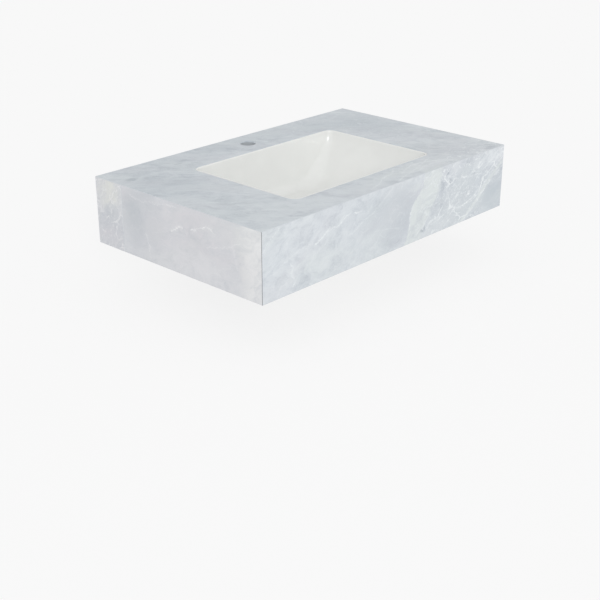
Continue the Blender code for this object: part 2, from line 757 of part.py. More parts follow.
def waste_body(chrome):
    """Flange, threaded tube, four overflow windows and the three-armed bridge for the cartridge."""
    edge = WASTE_FLANGE_ROUND
    profile = [
        (WASTE_BORE + PLUG_SEAT_WIDTH, WASTE_TOP),
        (WASTE_FLANGE_RADIUS - edge, WASTE_TOP),
        (WASTE_FLANGE_RADIUS, WASTE_TOP - edge),
        (WASTE_FLANGE_RADIUS, WASTE_RIM_Z),
        (WASTE_TUBE_RADIUS, WASTE_RIM_Z),
        (WASTE_TUBE_RADIUS, WASTE_END + ARRIS),
        (WASTE_TUBE_RADIUS - ARRIS, WASTE_END),
        (WASTE_BORE, WASTE_END),
        (WASTE_BORE, WASTE_TOP - PLUG_SEAT_DEPTH),
    ]
    body = turned("waste_body", profile, ROUND_STEPS, chrome)
    hub_end = HUB_TOP - HUB_HEIGHT
    hub_bore = CARTRIDGE_RADIUS + GAP
    hub = turned(
        "join_hub",
        [(hub_bore, HUB_TOP), (HUB_RADIUS, HUB_TOP), (HUB_RADIUS, hub_end), (hub_bore, hub_end)],
        ROUND_STEPS,
    )
    arm_start = (hub_bore + HUB_RADIUS) / 2
    arm_end = WASTE_TUBE_RADIUS - WASTE_TUBE_WALL / 2
    middle = HUB_TOP - HUB_HEIGHT / 2
    for arm in range(ARM_COUNT):
        name = f"join_bridge_arm_{arm + 1}"
        low = (arm_start, -ARM_WIDTH / 2, middle - ARM_HEIGHT / 2)
        high = (arm_end, ARM_WIDTH / 2, middle + ARM_HEIGHT / 2)
        made = new_object(name, mesh_of(name, block(low, high)))
        made.rotation_euler = (0, 0, math.pi / 2 + 2 * math.pi * arm / ARM_COUNT)
        boolean(hub, "UNION", made)
    boolean(body, "UNION", hub)
    reach = WASTE_TUBE_RADIUS + OVERRUN
    window_top = WASTE_RIM_Z - WINDOW_DROP
    for pair in range(WINDOW_PAIRS):
        name = f"cut_windows_{pair + 1}"
        low = (-reach, -WINDOW_WIDTH / 2, window_top - WINDOW_HEIGHT)
        made = new_object(name, mesh_of(name, block(low, (reach, WINDOW_WIDTH / 2, window_top))))
        made.rotation_euler = (0, 0, math.pi * pair / WINDOW_PAIRS)
        boolean(body, "DIFFERENCE", made)


def flat_ring(name, inner, outer, top, thickness, material):
    """A washer with square edges."""
    end = top - thickness
    return turned(name, [(inner, top), (outer, top), (outer, end), (inner, end)], ROUND_STEPS, material)


def waste_washers(rubber, plastic):
    flat_ring("waste_gasket", THREAD_RADIUS, GASKET_RADIUS, WASTE_RIM_Z - GAP, GASKET_THICKNESS, rubber)
    top = BOSS_Z - GAP
    nose = WASTE_HOLE_RADIUS - GAP
    profile = [
        (THREAD_RADIUS, top + CONE_NOSE),
        ((THREAD_RADIUS + nose) / 2, top + CONE_NOSE),
        (nose, top),
        (CONE_RADIUS, top),
        (CONE_RADIUS - CONE_TAPER, top - CONE_HEIGHT),
        (THREAD_RADIUS, top - CONE_HEIGHT),
    ]
    turned("waste_cone_washer", profile, ROUND_STEPS, rubber)
    slip_top = top - CONE_HEIGHT - GAP
    flat_ring("waste_slip_washer", THREAD_RADIUS, SLIP_RADIUS, slip_top, SLIP_THICKNESS, plastic)
    return slip_top - SLIP_THICKNESS - GAP


def waste_back_nut(top, brass):
    """A hexagon nut, chamfered where a cone meets its corners."""
    corner = BACK_NUT_WIDTH / 2 / math.cos(math.pi / NUT_SIDES)
    end = top - BACK_NUT_HEIGHT
    solid = bmesh.new()
    bmesh.ops.create_cone(
        solid,
        cap_ends=True,
        segments=NUT_SIDES,
        radius1=corner,
        radius2=corner,
        depth=BACK_NUT_HEIGHT,
        matrix=Matrix.Translation((0, 0, (top + end) / 2)),
    )
    nut = new_object("waste_back_nut", mesh_of("waste_back_nut", solid), brass)
    round_end = BACK_NUT_WIDTH / 2
    swell = round_end + 2 * BACK_NUT_CHAMFER
    bound = [
        (THREAD_RADIUS, top + OVERRUN),
        (round_end - OVERRUN, top + OVERRUN),
        (swell, top - BACK_NUT_CHAMFER),
        (swell, end + BACK_NUT_CHAMFER),
        (round_end - OVERRUN, end - OVERRUN),
        (THREAD_RADIUS, end - OVERRUN),
    ]
    boolean(nut, "INTERSECT", turned("bound_back_nut", bound, ROUND_STEPS))


def tailpiece(chrome, rubber):
    """The outlet tube: a grooved spigot inside the waste, a shoulder under it, and the plain end."""
    spigot = WASTE_BORE - GAP
    bore = TAIL_RADIUS - TAIL_WALL
    shoulder = WASTE_END - GAP
    start = shoulder + SPIGOT_LENGTH
    groove = start - GROOVE_PLACE_SHARE * SPIGOT_LENGTH
    groove_radius = spigot - GROOVE_DEPTH
    foot = shoulder - TAIL_SHOULDER
    end = foot - TAIL_LENGTH
    profile = [
        (bore, start),
        (spigot, start),
        (spigot, groove + GROOVE_HEIGHT / 2),
        (groove_radius, groove + GROOVE_HEIGHT / 2),
        (groove_radius, groove - GROOVE_HEIGHT / 2),
        (spigot, groove - GROOVE_HEIGHT / 2),
        (spigot, shoulder),
        (WASTE_TUBE_RADIUS, shoulder),
        (WASTE_TUBE_RADIUS, foot + ARRIS),
        (TAIL_RADIUS, foot),
        (TAIL_RADIUS, end),
        (bore, end),
    ]
    turned("tailpiece", profile, ROUND_STEPS, chrome)
    section = (WASTE_BORE - groove_radius) / 2 - GAP
    round_ring("tailpiece_ring", groove_radius + GAP + section, section, groove, rubber)


def round_ring(name, radius, section, height, material):
    """A rubber ring of round section."""
    profile = []
    for step in range(RING_SECTION_STEPS):
        angle = math.pi / 2 - 2 * math.pi * step / RING_SECTION_STEPS
        profile.append((radius + section * math.cos(angle), height + section * math.sin(angle)))
    return turned(name, profile, ROUND_STEPS, material)


def cartridge(plastic):
    """The sprung cartridge's body, which hangs in the bridge by its collar, and its screwed base."""
    collar = CARTRIDGE_RADIUS + CARTRIDGE_COLLAR_WIDTH
    collar_z = HUB_TOP + GAP
    guide = STEM_RADIUS + GAP
    profile = [
        (guide, CARTRIDGE_TOP),
        (CARTRIDGE_RADIUS - ARRIS, CARTRIDGE_TOP),
        (CARTRIDGE_RADIUS, CARTRIDGE_TOP - ARRIS),
        (CARTRIDGE_RADIUS, collar_z + CARTRIDGE_COLLAR_HEIGHT),
        (collar, collar_z + CARTRIDGE_COLLAR_HEIGHT),
        (collar, collar_z),
        (CARTRIDGE_RADIUS, collar_z),
        (CARTRIDGE_RADIUS, CARTRIDGE_END),
        (CHAMBER_RADIUS, CARTRIDGE_END),
        (CHAMBER_RADIUS, CHAMBER_TOP),
        (guide, CHAMBER_TOP),
    ]
    turned("cartridge_body", profile, ROUND_STEPS, plastic)
    base_z = CARTRIDGE_END - GAP
    profile = [
        (0, CARTRIDGE_END + BASE_SPIGOT),
        (CHAMBER_RADIUS - GAP, CARTRIDGE_END + BASE_SPIGOT),
        (CHAMBER_RADIUS - GAP, base_z),
        (CARTRIDGE_RADIUS, base_z),
        (CARTRIDGE_RADIUS, base_z - BASE_RIM + ARRIS),
        (CARTRIDGE_RADIUS - ARRIS, base_z - BASE_RIM),
        (0, base_z - BASE_RIM),
    ]
    turned("cartridge_base", profile, ROUND_STEPS, plastic)


def cartridge_spring(steel):
    """A coil between the cartridge's base and the stem's piston, with flat last curls."""
    radius = CHAMBER_RADIUS - GAP - SPRING_WIRE_RADIUS
    low = SPRING_FOOT + SPRING_WIRE_RADIUS
    high = SPRING_HEAD - SPRING_WIRE_RADIUS
    lead = 2 * SPRING_WIRE_RADIUS + SPRING_END_GAP
    middle_curls = SPRING_CURLS - 2
    curve = bpy.data.curves.new("cartridge_spring", "CURVE")
    curve.dimensions = "3D"
    curve.bevel_depth = SPRING_WIRE_RADIUS
    curve.bevel_resolution = 1
    curve.use_fill_caps = True
    line = curve.splines.new("POLY")
    count = SPRING_CURLS * CURL_POINTS
    line.points.add(count)
    for index, point in enumerate(line.points):
        turn = index / CURL_POINTS
        if turn < 1:
            height = low + lead * turn
        elif turn > SPRING_CURLS - 1:
            height = high - lead * (SPRING_CURLS - turn)
        else:
            height = low + lead + (high - low - 2 * lead) * (turn - 1) / middle_curls
        angle = 2 * math.pi * turn
        point.co = (radius * math.cos(angle), radius * math.sin(angle), height, 1)
    pitch = (high - low - 2 * lead) / middle_curls
    print("least gap between curls:", round(min(lead, pitch) - 2 * SPRING_WIRE_RADIUS, 5))
    guide = bpy.data.objects.new("spring_guide", curve)
    bpy.data.collections["cutters"].objects.link(guide)
    return new_object("cartridge_spring", smooth(baked(guide, "cartridge_spring")), steel)


def plug_cap(chrome):
    """A shallow crowned cap with a grooved skirt and a socket for the stem."""
    under = PLUG_UNDERSIDE
    rim_top = under + PLUG_RIM
    skirt_end = under - PLUG_SKIRT_DEPTH
    half_groove = SEAL_RADIUS + GAP
    socket = STEM_RADIUS + GAP
    socket_top = skirt_end + STEM_SOCKET_DEPTH
    flat = PLUG_RADIUS - ARRIS
    profile = []
    for level in range(CROWN_LEVELS):
        share = level / CROWN_LEVELS
        profile.append((flat * share, rim_top + PLUG_CROWN * (1 - share * share)))
    profile += [
        (flat, rim_top),
        (PLUG_RADIUS, rim_top - ARRIS),
        (PLUG_RADIUS, under),
        (PLUG_GROOVE_RADIUS, under),
        (PLUG_GROOVE_RADIUS, SEAL_Z - half_groove),
        (PLUG_SKIRT_RADIUS, SEAL_Z - half_groove),
        (PLUG_SKIRT_RADIUS - ARRIS, skirt_end),
        (socket, skirt_end),
        (socket, socket_top),
        (0, socket_top),
    ]
    return turned("plug_cap", profile, ROUND_STEPS, chrome)


def plug_stem(steel):
    """A rod from the cap's socket to the piston that the spring lifts."""
    top = PLUG_UNDERSIDE - PLUG_SKIRT_DEPTH + STEM_SOCKET_DEPTH - GAP
    piston_end = PISTON_TOP - PISTON_HEIGHT
    piston = CHAMBER_RADIUS - GAP
    profile = [
        (0, top),
        (STEM_RADIUS, top),
        (STEM_RADIUS, PISTON_TOP),
        (piston, PISTON_TOP),
        (piston, piston_end),
        (0, piston_end),
    ]
    return turned("plug_stem", profile, ROUND_STEPS, steel)


def plug(chrome, rubber, steel):
    """The moving pieces, on an empty that stands on the axis they slide along."""
    seal_radius = PLUG_GROOVE_RADIUS + GAP + SEAL_RADIUS
    moving = [
        plug_cap(chrome),
        round_ring("plug_seal", seal_radius, SEAL_RADIUS, SEAL_Z, rubber),
        plug_stem(steel),
    ]
    axis = bpy.data.objects.new("plug_axis", None)
    bpy.data.collections[OBJECT_NAME].objects.link(axis)
    for piece in moving:
        piece.parent = axis


def main():
    clear_scene()
    new_collection(OBJECT_NAME)
    new_collection("cutters")
    stone = new_material("polished grey stone", (0.50, 0.53, 0.56), 0.30)
    raw_stone = new_material("sawn grey stone", (0.42, 0.44, 0.46), 0.70)
    ceramic = new_material("white glazed ceramic", (0.80, 0.81, 0.79), 0.12)
    silicone = new_material("white silicone", (0.75, 0.75, 0.73), 0.45)
    chrome = new_material("chromed brass", (0.78, 0.79, 0.80), 0.08, 1.0)
    brass = new_material("machined brass", (0.62, 0.47, 0.24), 0.35, 1.0)
    steel = new_material("zinc plated steel", (0.56, 0.57, 0.58), 0.38, 1.0)
    rubber = new_material("black rubber", (0.03, 0.03, 0.03), 0.70)
    plastic = new_material("white acetal", (0.70, 0.70, 0.68), 0.40)
    top_slab(stone)
    aprons(stone)
    glued_strips(raw_stone)
    basin(ceramic)
    basin_sealant(silicone)
    overflow_ring(chrome)
    clips(steel)
    waste_body(chrome)
    nut_top = waste_washers(rubber, plastic)
    waste_back_nut(nut_top, brass)
    tailpiece(chrome, rubber)
    cartridge(plastic)
    cartridge_spring(steel)
    plug(chrome, rubber, steel)


main()
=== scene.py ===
"""The looks of a stone vanity sink top: stone, basin, waste, fixings, floor, lamps and camera."""

import math
from functools import partial, reduce

import bmesh
import bpy
from bpy.props import FloatProperty, FloatVectorProperty, IntProperty, PointerProperty
from mathutils import Matrix, Vector


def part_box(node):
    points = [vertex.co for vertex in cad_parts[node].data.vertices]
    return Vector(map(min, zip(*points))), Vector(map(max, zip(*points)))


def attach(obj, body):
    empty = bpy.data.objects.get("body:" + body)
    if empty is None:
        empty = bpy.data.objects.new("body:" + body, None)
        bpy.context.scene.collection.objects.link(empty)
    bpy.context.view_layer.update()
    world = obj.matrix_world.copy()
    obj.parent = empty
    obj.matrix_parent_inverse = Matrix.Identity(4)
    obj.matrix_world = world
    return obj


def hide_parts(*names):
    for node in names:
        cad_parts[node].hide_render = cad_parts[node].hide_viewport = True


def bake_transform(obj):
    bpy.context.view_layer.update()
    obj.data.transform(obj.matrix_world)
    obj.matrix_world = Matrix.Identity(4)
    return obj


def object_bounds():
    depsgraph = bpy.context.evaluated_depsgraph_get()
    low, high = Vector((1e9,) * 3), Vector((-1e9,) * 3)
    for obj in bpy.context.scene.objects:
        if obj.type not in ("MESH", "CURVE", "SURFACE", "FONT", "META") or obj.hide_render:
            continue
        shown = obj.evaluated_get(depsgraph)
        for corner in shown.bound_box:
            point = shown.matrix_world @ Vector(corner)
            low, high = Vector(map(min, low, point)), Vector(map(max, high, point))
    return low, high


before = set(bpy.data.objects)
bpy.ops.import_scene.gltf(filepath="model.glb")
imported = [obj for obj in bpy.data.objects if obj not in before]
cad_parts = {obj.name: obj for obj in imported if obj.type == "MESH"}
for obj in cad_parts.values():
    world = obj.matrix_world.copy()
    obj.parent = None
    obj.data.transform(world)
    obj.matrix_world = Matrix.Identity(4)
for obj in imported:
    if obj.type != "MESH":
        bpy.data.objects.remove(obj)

bl_info = {
    "name": "Vanity sink top",
    "version": (1, 0, 0),
    "blender": (4, 5, 0),
    "location": "View3D > Sidebar > Sink top",
    "description": "Dresses the solids of a stone vanity sink top and its glazed basin",
    "category": "Object",
}

CAD_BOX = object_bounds()
MM = 1000
FIXINGS = range(1, 7)

SLAB_LOW, SLAB_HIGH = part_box("top_slab")
FRONT_LOW, FRONT_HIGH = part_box("front_apron")
LEFT_LOW, LEFT_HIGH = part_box("left_apron")
WASTE_LOW, WASTE_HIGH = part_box("waste_body")
LEFT, RIGHT = LEFT_LOW.x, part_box("right_apron")[1].x
FRONT, REAR, TOP, UNDERSIDE = FRONT_LOW.y, SLAB_HIGH.y, SLAB_HIGH.z, SLAB_LOW.z


def linear(code):
    """The linear colour of an sRGB hex code."""
    colour = []
    for start in (0, 2, 4):
        value = int(code[start : start + 2], 16) / 255
        colour.append(value / 12.92 if value <= 0.04045 else ((value + 0.055) / 1.055) ** 2.4)
    return colour


def number(label, note, value, **kind):
    return FloatProperty(name=label, description=note, default=value, **kind)


def whole(label, note, value):
    return IntProperty(name=label, description=note, default=value, min=1)


def tone(label, note, code):
    kind = {"size": 3, "min": 0, "max": 1, "subtype": "COLOR"}
    return FloatVectorProperty(name=label, description=note, default=linear(code), **kind)


length = partial(number, unit="LENGTH", precision=4)
share = partial(number, min=0, max=1, subtype="FACTOR")


class StoneLook(bpy.types.PropertyGroup):
    dark: tone("Dark cloud", "Darkest part of the stone's ground", "BBC1C8")
    middle: tone("Middle cloud", "Middle of the stone's ground", "D0D5DA")
    pale: tone("Pale cloud", "Lightest part of the stone's ground", "DFE3E6")
    vein: tone("Vein", "White calcite veins and crackle", "F1F4F5")
    band: tone("Band", "Broad pale band on the front", "DEE3E2")
    chalk: tone("Chalk", "Greenish chalky patches", "DEE2DC")
    fleck: tone("Fleck", "Dark mineral spots", "8E98A2")
    cool: tone("Cool cloud", "Blue-green shade in the darker patches", "B4BEC4")
    warm: tone("Warm cloud", "Lilac shade in the lighter patches", "D8D7DC")
    # The sawn colour also darkens the top's cut-out and tap-hole walls, partly as painted shade.
    sawn: tone("Sawn back", "Unpolished back and hidden strips", "A9ADB0")
    # Painted light and shade: the face tints make lit and shaded copies of the one stone, with the
    # top's the darkest.
    top_shading_tint: tone("Top tint", "What the top's slab is multiplied by", "EDF0F2")
    front_shading_tint: tone("Front tint", "What the front's slab is multiplied by", "FAFBFC")
    side_shading_tint: tone("Side tint", "What the sides' slab is multiplied by", "FDFAFA")
    polish: share("Polish roughness", "Roughness of the satin polished face", 0.34)
    grain: length("Grain", "Size of the stone's visible grain", 0.0012)
    cloud: length("Cloud", "Length of the clouds across the slab", 0.12)
    mottle: length("Mottle", "Size of the chalky blotches in the clouds", 0.026)
    streak: length("Streak", "Spacing of the fine streaks", 0.007)
    crackle: length("Crackle", "Mean size of the cells between crackle veins", 0.030)


class JointLook(bpy.types.PropertyGroup):
    adhesive: tone("Adhesive", "Stone adhesive matched to the slab", "CDD2D6")
    dark_line: tone("Mitre line", "Adhesive in the open upright mitres", "3C4044")
    line_width: length("Mitre line width", "Width of the line down the upright mitres", 0.0008)
    filler_width: length("Mitre filler width", "Width of the flush fill in the level mitres", 0.001)
    fill_depth: length("Fill depth", "How deep the adhesive fills a mitre", 0.003)
    seam_width: length("Seam width", "Width of the filled groove at the side seams", 0.0018)
    arris: length("Arris", "Chamfer on the stone's edges", 0.001)
    bead: length("Bead", "Radius of the adhesive squeezed out beside the strips", 0.0016)
    waver: length("Bead waver", "How far a bead strays from its line", 0.0007)
    seed: whole("Bead seed", "Seed of the beads' waver", 4)


class BasinLook(bpy.types.PropertyGroup):
    glaze: tone("Glaze", "White glaze inside the bowl and on the lip", "E9EAE8")
    body: tone("Body", "Unglazed fireclay on the basin's underside", "D9D3C7")
    iron: tone("Iron specks", "Specks in the unglazed fireclay", "8A7A66")
    # Light grey rather than white: partly painted shade of the recessed joint beside the lip.
    silicone: tone("Silicone", "Sanitary silicone between lip and stone", "D9DCDD")
    gloss: share("Glaze roughness", "Roughness of the glaze", 0.04)
    opening_width: length("Opening width", "Width of the cut-out in the slab", 0.450)
    opening_depth: length("Opening depth", "Depth of the cut-out, front to rear", 0.310)
    opening_corner: length("Opening corner", "Corner radius of the cut-out", 0.022)
    setback: length("Setback", "How far the opening's middle is in front of the waste", 0.015)
    lip_joint: length("Lip joint", "Gap between the lip and the stone", 0.0015)
    lip_width: length("Lip width", "Width of the lip with its rounds", 0.004)
    lip_round: length("Lip round", "Radius from the lip into the bowl", 0.0025)
    lip_drop: length("Lip drop", "How far the lip lies under the top", 0.0005)
    flange_width: length("Flange width", "How far the flange reaches under the stone", 0.018)
    flange_thickness: length("Flange thickness", "Thickness of the flange", 0.010)
    bed: length("Bed", "Silicone bed between the flange and the slab", 0.002)
    depth: length("Bowl depth", "Depth of the bowl's wall from the lip", 0.115)
    wall: length("Wall", "Thickness of the bowl's wall", 0.011)
    floor: length("Floor", "Thickness of the bowl's floor", 0.010)
    end_lean: length("End lean", "How far the end walls slope inward", 0.091)
    side_lean: length("Side lean", "How far the front and rear walls slope inward", 0.015)
    fillet: length("Floor fillet", "Radius between the walls and the floor", 0.022)
    floor_corner: length("Floor corner", "Corner radius at the floor", 0.060)
    fall: length("Floor fall", "Fall of the floor to the waste", 0.003)
    hole: length("Waste hole", "Radius of the waste hole", 0.023)
    seat: length("Seat radius", "Radius of the sunk seat for the waste", 0.0335)
    seat_depth: length("Seat depth", "Depth of the sunk seat", 0.003)
    boss: length("Boss radius", "Radius of the boss round the waste", 0.037)
    overflow_depth: length("Overflow depth", "How far the overflow is under the lip", 0.036)
    overflow: length("Overflow radius", "Radius of the overflow hole", 0.012)
    passage_width: length("Passage width", "Width of the overflow passage", 0.030)
    passage_wall: length("Passage wall", "Wall between the bowl and the passage", 0.009)
    passage_depth: length("Passage depth", "Depth of the overflow passage", 0.009)
    duct_wall: length("Duct wall", "Wall of the overflow duct", 0.006)


class FittingLook(bpy.types.PropertyGroup):
    chrome: tone("Chrome", "Chrome plating on brass", "CDD0D2")
    brass: tone("Brass", "Machined brass", "C9A45C")
    zinc: tone("Zinc", "Zinc plating on steel", "B9BDC2")
    spring: tone("Spring steel", "Stainless spring wire", "B4B2AE")
    rubber: tone("Rubber", "Black rubber", "1B1C1D")
    acetal: tone("Acetal", "Moulded white acetal", "E4E4DF")
    steps: whole("Steps", "Faces round each turned piece", 96)
    edge: length("Edge round", "Round on the edges of turned pieces", 0.0002)
    play: length("Play", "Gap between pieces that fit into each other", 0.0003)
    tube: length("Waste tube", "Outside radius of the waste's tube", 0.021)
    tube_wall: length("Waste wall", "Wall of the waste's tube", 0.0025)
    flange: length("Waste flange", "Thickness of the waste's flange", 0.0024)
    seat_width: length("Plug seat width", "Width of the cone under the plug", 0.0025)
    seat_depth: length("Plug seat depth", "Depth of the cone under the plug", 0.003)
    hub: length("Hub", "Radius of the hub that holds the cartridge", 0.011)
    hub_bore: length("Hub bore", "Radius of the hub's bore", 0.0083)
    arm: length("Arm", "Width of the three arms that carry the hub", 0.003)
    window_width: length("Window width", "Width of the overflow windows", 0.012)
    window_height: length("Window height", "Height of the overflow windows", 0.010)
    window_drop: length("Window drop", "How far the windows are under the flange", 0.008)
    waste_pitch: length("Waste pitch", "Pitch of the waste's thread", 0.0023)
    tail: length("Tail", "Outside radius of the tailpiece", 0.016)
    tail_wall: length("Tail wall", "Wall of the tailpiece", 0.0015)
    ring_groove: length("Ring groove", "Height of the groove for the tailpiece's ring", 0.0026)
    rim: length("Trim rim", "Width of the overflow trim's rim", 0.004)
    travel: length("Plug travel", "How far the plug is pressed down", 0.008)
    shut_gap: length("Shut gap", "Gap under the plug when it is down", 0.0005)
    crown: length("Plug crown", "Rise of the plug's dome", 0.0025)
    skirt: length("Plug skirt", "Radius of the skirt under the plug", 0.0175)
    seal_groove: length("Seal groove", "Depth of the groove for the plug's seal", 0.0012)
    spring_wire: length("Spring wire", "Radius of the spring's wire", 0.0006)
    spring_gap: length("Spring end gap", "Gap between the spring's flat last curls", 0.0006)
    spring_curls: whole("Spring curls", "Turns of the spring", 7)
    stud_radius: length("Stud radius", "Radius of the clips' studs", 0.003)
    stud_pitch: length("Stud pitch", "Pitch of the studs' thread", 0.001)


class StageLook(bpy.types.PropertyGroup):
    ground: tone("Ground", "Pale ground round the object", "F8F8F8")
    glow: tone("Floor glow", "What the floor shows beside its shadow share", "FAFAFA")
    shadow: share("Shadow share", "How much of the floor shows shadow", 0.12)
    world: number("World", "Strength of the even light", 0.75, min=0)
    key: number("Key", "Strength of the front lamp", 0.80, min=0)
    key_width: number("Key width", "Width of the front lamp", math.radians(16), subtype="ANGLE")
    strip: number("Strip", "Power of the tall narrow lamp", 8.0, unit="POWER")
    lens: number("Lens", "Focal length", 67.3, unit="CAMERA")
    yaw: number("Yaw", "Turn of the camera", math.radians(46.89), subtype="ANGLE")
    pitch: number("Pitch", "Tilt of the camera below level", math.radians(23.83), subtype="ANGLE")
    place: FloatVectorProperty(
        name="Camera",
        description="Place of the camera",
        default=(-1.773, -1.633, 0.873),
        subtype="XYZ",
    )


GROUPS = {
    "sink_stone": StoneLook,
    "sink_joints": JointLook,
    "sink_basin": BasinLook,
    "sink_fittings": FittingLook,
    "sink_stage": StageLook,
}


# Building blocks

# What the second word of a node's kind sets.
MODES = {
    "Math": "operation",
    "VectorMath": "operation",
    "MapRange": "interpolation_type",
    "Mix": "data_type",
}


def add_node(tree, kind, *values, out=0, stops=(), line=(), named=None, **settings):
    """Adds a node, feeds its inputs in order or by name, and returns one output or a slice of them.
    The kind is a shader node's unless it says more, and its second word sets the node's mode."""
    kind, _, mode = kind.partition(" ")
    made = tree.nodes.new(kind if "Node" in kind else "ShaderNode" + kind)
    if mode:
        settings[MODES[kind]] = mode
    for name, value in settings.items():
        setattr(made, name, value)
    for position, (place, colour) in enumerate(stops):
        ramp = made.color_ramp.elements
        stop = ramp[position] if position < len(ramp) else ramp.new(place)
        stop.position, stop.color = place, (*colour[:3], 1)
    if line:
        points = made.mapping.curves[0].points
        while len(points) < len(line):
            points.new(0.5, 0.5)
        for point, place in zip(points, line):
            point.location, point.handle_type = place, "VECTOR"
        made.mapping.update()
    pairs = list(zip([socket for socket in made.inputs if socket.enabled], values))
    pairs += [(made.inputs[key], value) for key, value in (named or {}).items()]
    for socket, value in pairs:
        if isinstance(value, bpy.types.NodeSocket):
            tree.links.new(value, socket)
        elif value is not None:
            socket.default_value = (*value[:3], 1) if socket.type == "RGBA" else value
    if isinstance(out, str):
        return made.outputs[out]
    shown = [socket for socket in made.outputs if socket.enabled]
    return shown[out] if shown else made


def fresh(kind, name):
    """An empty material or world, and the function that adds nodes to it."""
    made = kind.new(name)
    made.use_nodes = True
    made.node_tree.nodes.clear()
    return made, partial(add_node, made.node_tree)


def fresh_group(name, kind, inputs, outputs):
    """A node group whose sockets are given by name and type, the function that adds nodes to it,
    and its inputs."""
    tree = bpy.data.node_groups.new(name, kind)
    for way, sockets in (("INPUT", inputs), ("OUTPUT", outputs)):
        for label, what in sockets.items():
            tree.interface.new_socket(label, in_out=way, socket_type="NodeSocket" + what)
    node = partial(add_node, tree)
    return tree, node, node("NodeGroupInput", out=slice(len(inputs)))


def shade(node, colour, roughness, normal=None, metallic=0.0, **more):
    """Links a Principled shader to the material's output."""
    values = {"Base Color": colour, "Roughness": roughness, "Metallic": metallic, "Normal": normal}
    node("OutputMaterial", node("BsdfPrincipled", named={**values, **more}))


def surface(name, colour, grain, tint, roughness, relief=None, wear=None, **more):
    """A material of one colour. Its grain, a noise's scale, detail and roughness, runs the tint and
    the relief. Its wear, another noise, runs the roughness, or else the grain does."""
    material, node = fresh(bpy.data.materials, name)
    place = node("TexCoord", out="Object")
    grain = node("TexNoise", place, *grain)
    worn = node("TexNoise", place, *wear) if wear else grain
    if tint:
        factor = node("MapRange", grain, 0.3, 0.7, *tint)
        colour = node("VectorMath SCALE", tuple(colour), factor)
    if isinstance(roughness, tuple):
        roughness = node("MapRange", worn, 0.3, 0.7, *roughness)
    normal = node("Bump", *relief, named={"Height": grain}) if relief else None
    shade(node, colour, roughness, normal, **more)
    return material


def dress(material, *names):
    """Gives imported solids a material."""
    for name in names:
        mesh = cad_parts[name].data
        mesh.materials.clear()
        mesh.materials.append(material)


def helper(name, mesh):
    """An object in the scene."""
    made = bpy.data.objects.new(name, mesh)
    bpy.context.scene.collection.objects.link(made)
    return made


def piece(name, mesh, materials, body, stands_for=()):
    """Makes a finished mesh a piece of the part. It rides on a body whose name is given. Given two
    bodies and the points where each one takes over, it is only fixed where it stands."""
    mesh.name = name
    made = helper(name, mesh)
    for index, material in enumerate(materials):
        if index < len(mesh.materials):
            mesh.materials[index] = material
        else:
            mesh.materials.append(material)
    if isinstance(body, str):
        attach(made, body)
    else:
        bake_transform(made)
    if stands_for:
        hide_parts(*stands_for)


def applied(made):
    """The object's mesh with its modifiers applied. The object itself is removed."""
    bpy.context.view_layer.update()
    graph = bpy.context.evaluated_depsgraph_get()
    mesh = bpy.data.meshes.new_from_object(made.evaluated_get(graph), depsgraph=graph)
    bpy.data.objects.remove(made)
    return mesh


def mesh_from(solid):
    mesh = bpy.data.meshes.new("made")
    bmesh.ops.recalc_face_normals(solid, faces=solid.faces[:])
    solid.to_mesh(mesh)
    solid.free()
    return mesh


def smooth(mesh, angle=math.radians(32)):
    """Shades smooth, with edges over the angle left sharp."""
    mesh.shade_smooth()
    mesh.set_sharp_from_angle(angle=angle)
    return mesh


def lathe(profile, steps):
    """Turns a closed (radius, height) profile about Z. Points on the axis become poles."""
    solid = bmesh.new()
    turns = [2 * math.pi * step / steps for step in range(steps)]
    rows = []
    for radius, height in profile:
        if radius:
            spots = [(radius * math.cos(turn), radius * math.sin(turn), height) for turn in turns]
            rows.append([solid.verts.new(spot) for spot in spots])
        else:
            rows.append([solid.verts.new((0, 0, height))] * steps)
    following = rows[1:] + rows[:1] if profile[0][0] else rows[1:]
    for row, below in zip(rows, following):
        for i in range(steps):
            j = (i + 1) % steps
            corners = list(dict.fromkeys((row[i], row[j], below[j], below[i])))
            if len(corners) > 2:
                solid.faces.new(corners)
    return mesh_from(solid)


def rounded(mesh, width):
    """Rounds every edge sharper than 30 degrees."""
    made = helper("rounding", mesh)
    bevel = made.modifiers.new("edges", "BEVEL")
    bevel.width, bevel.segments = width, 2
    bevel.limit_method, bevel.angle_limit = "ANGLE", math.radians(30)
    return smooth(applied(made))


def skin(rings, first):
    """A closed skin of quads through rings of equal count. The first strips have the first
    material, and the rest the second."""
    solid = bmesh.new()
    rows = [[solid.verts.new(point) for point in ring] for ring in rings]
    for index, (row, below) in enumerate(zip(rows, rows[1:] + rows[:1])):
        for i in range(len(row)):
            j = (i + 1) % len(row)
            face = solid.faces.new((row[i], row[j], below[j], below[i]))
            face.material_index = int(index >= first)
    return mesh_from(solid)


def quarter(steps):
    """Angles from nothing to a quarter turn."""
    return [math.pi / 2 * step / steps for step in range(steps + 1)]


def prism(section, shift):
    """A closed bar: a flat section of 3-D points, carried along by the shift."""
    solid = bmesh.new()
    near = [solid.verts.new(point) for point in section]
    far = [solid.verts.new(Vector(point) + Vector(shift)) for point in section]
    solid.faces.new(near)
    solid.faces.new(far)
    for i in range(len(section)):
        j = (i + 1) % len(section)
        solid.faces.new((near[i], near[j], far[j], far[i]))
    return mesh_from(solid)


def bar(low, high, turn):
    """A box between two corners, turned about Z."""
    (x, near, foot), (end, far, head) = low, high
    section = [(x, near, foot), (x, far, foot), (x, far, head), (x, near, head)]
    made = prism(section, (end - x, 0, 0))
    made.transform(Matrix.Rotation(turn, 4, "Z"))
    return made


def cut(mesh, steps):
    """The mesh with other meshes joined to it or cut from it, in order."""
    made = helper("body", mesh)
    others = []
    for operation, other in steps:
        others.append(helper("cutter", other))
        modifier = made.modifiers.new(operation, "BOOLEAN")
        modifier.operation, modifier.object, modifier.solver = operation, others[-1], "EXACT"
    mesh = applied(made)
    for other in others:
        bpy.data.objects.remove(other)
    return mesh


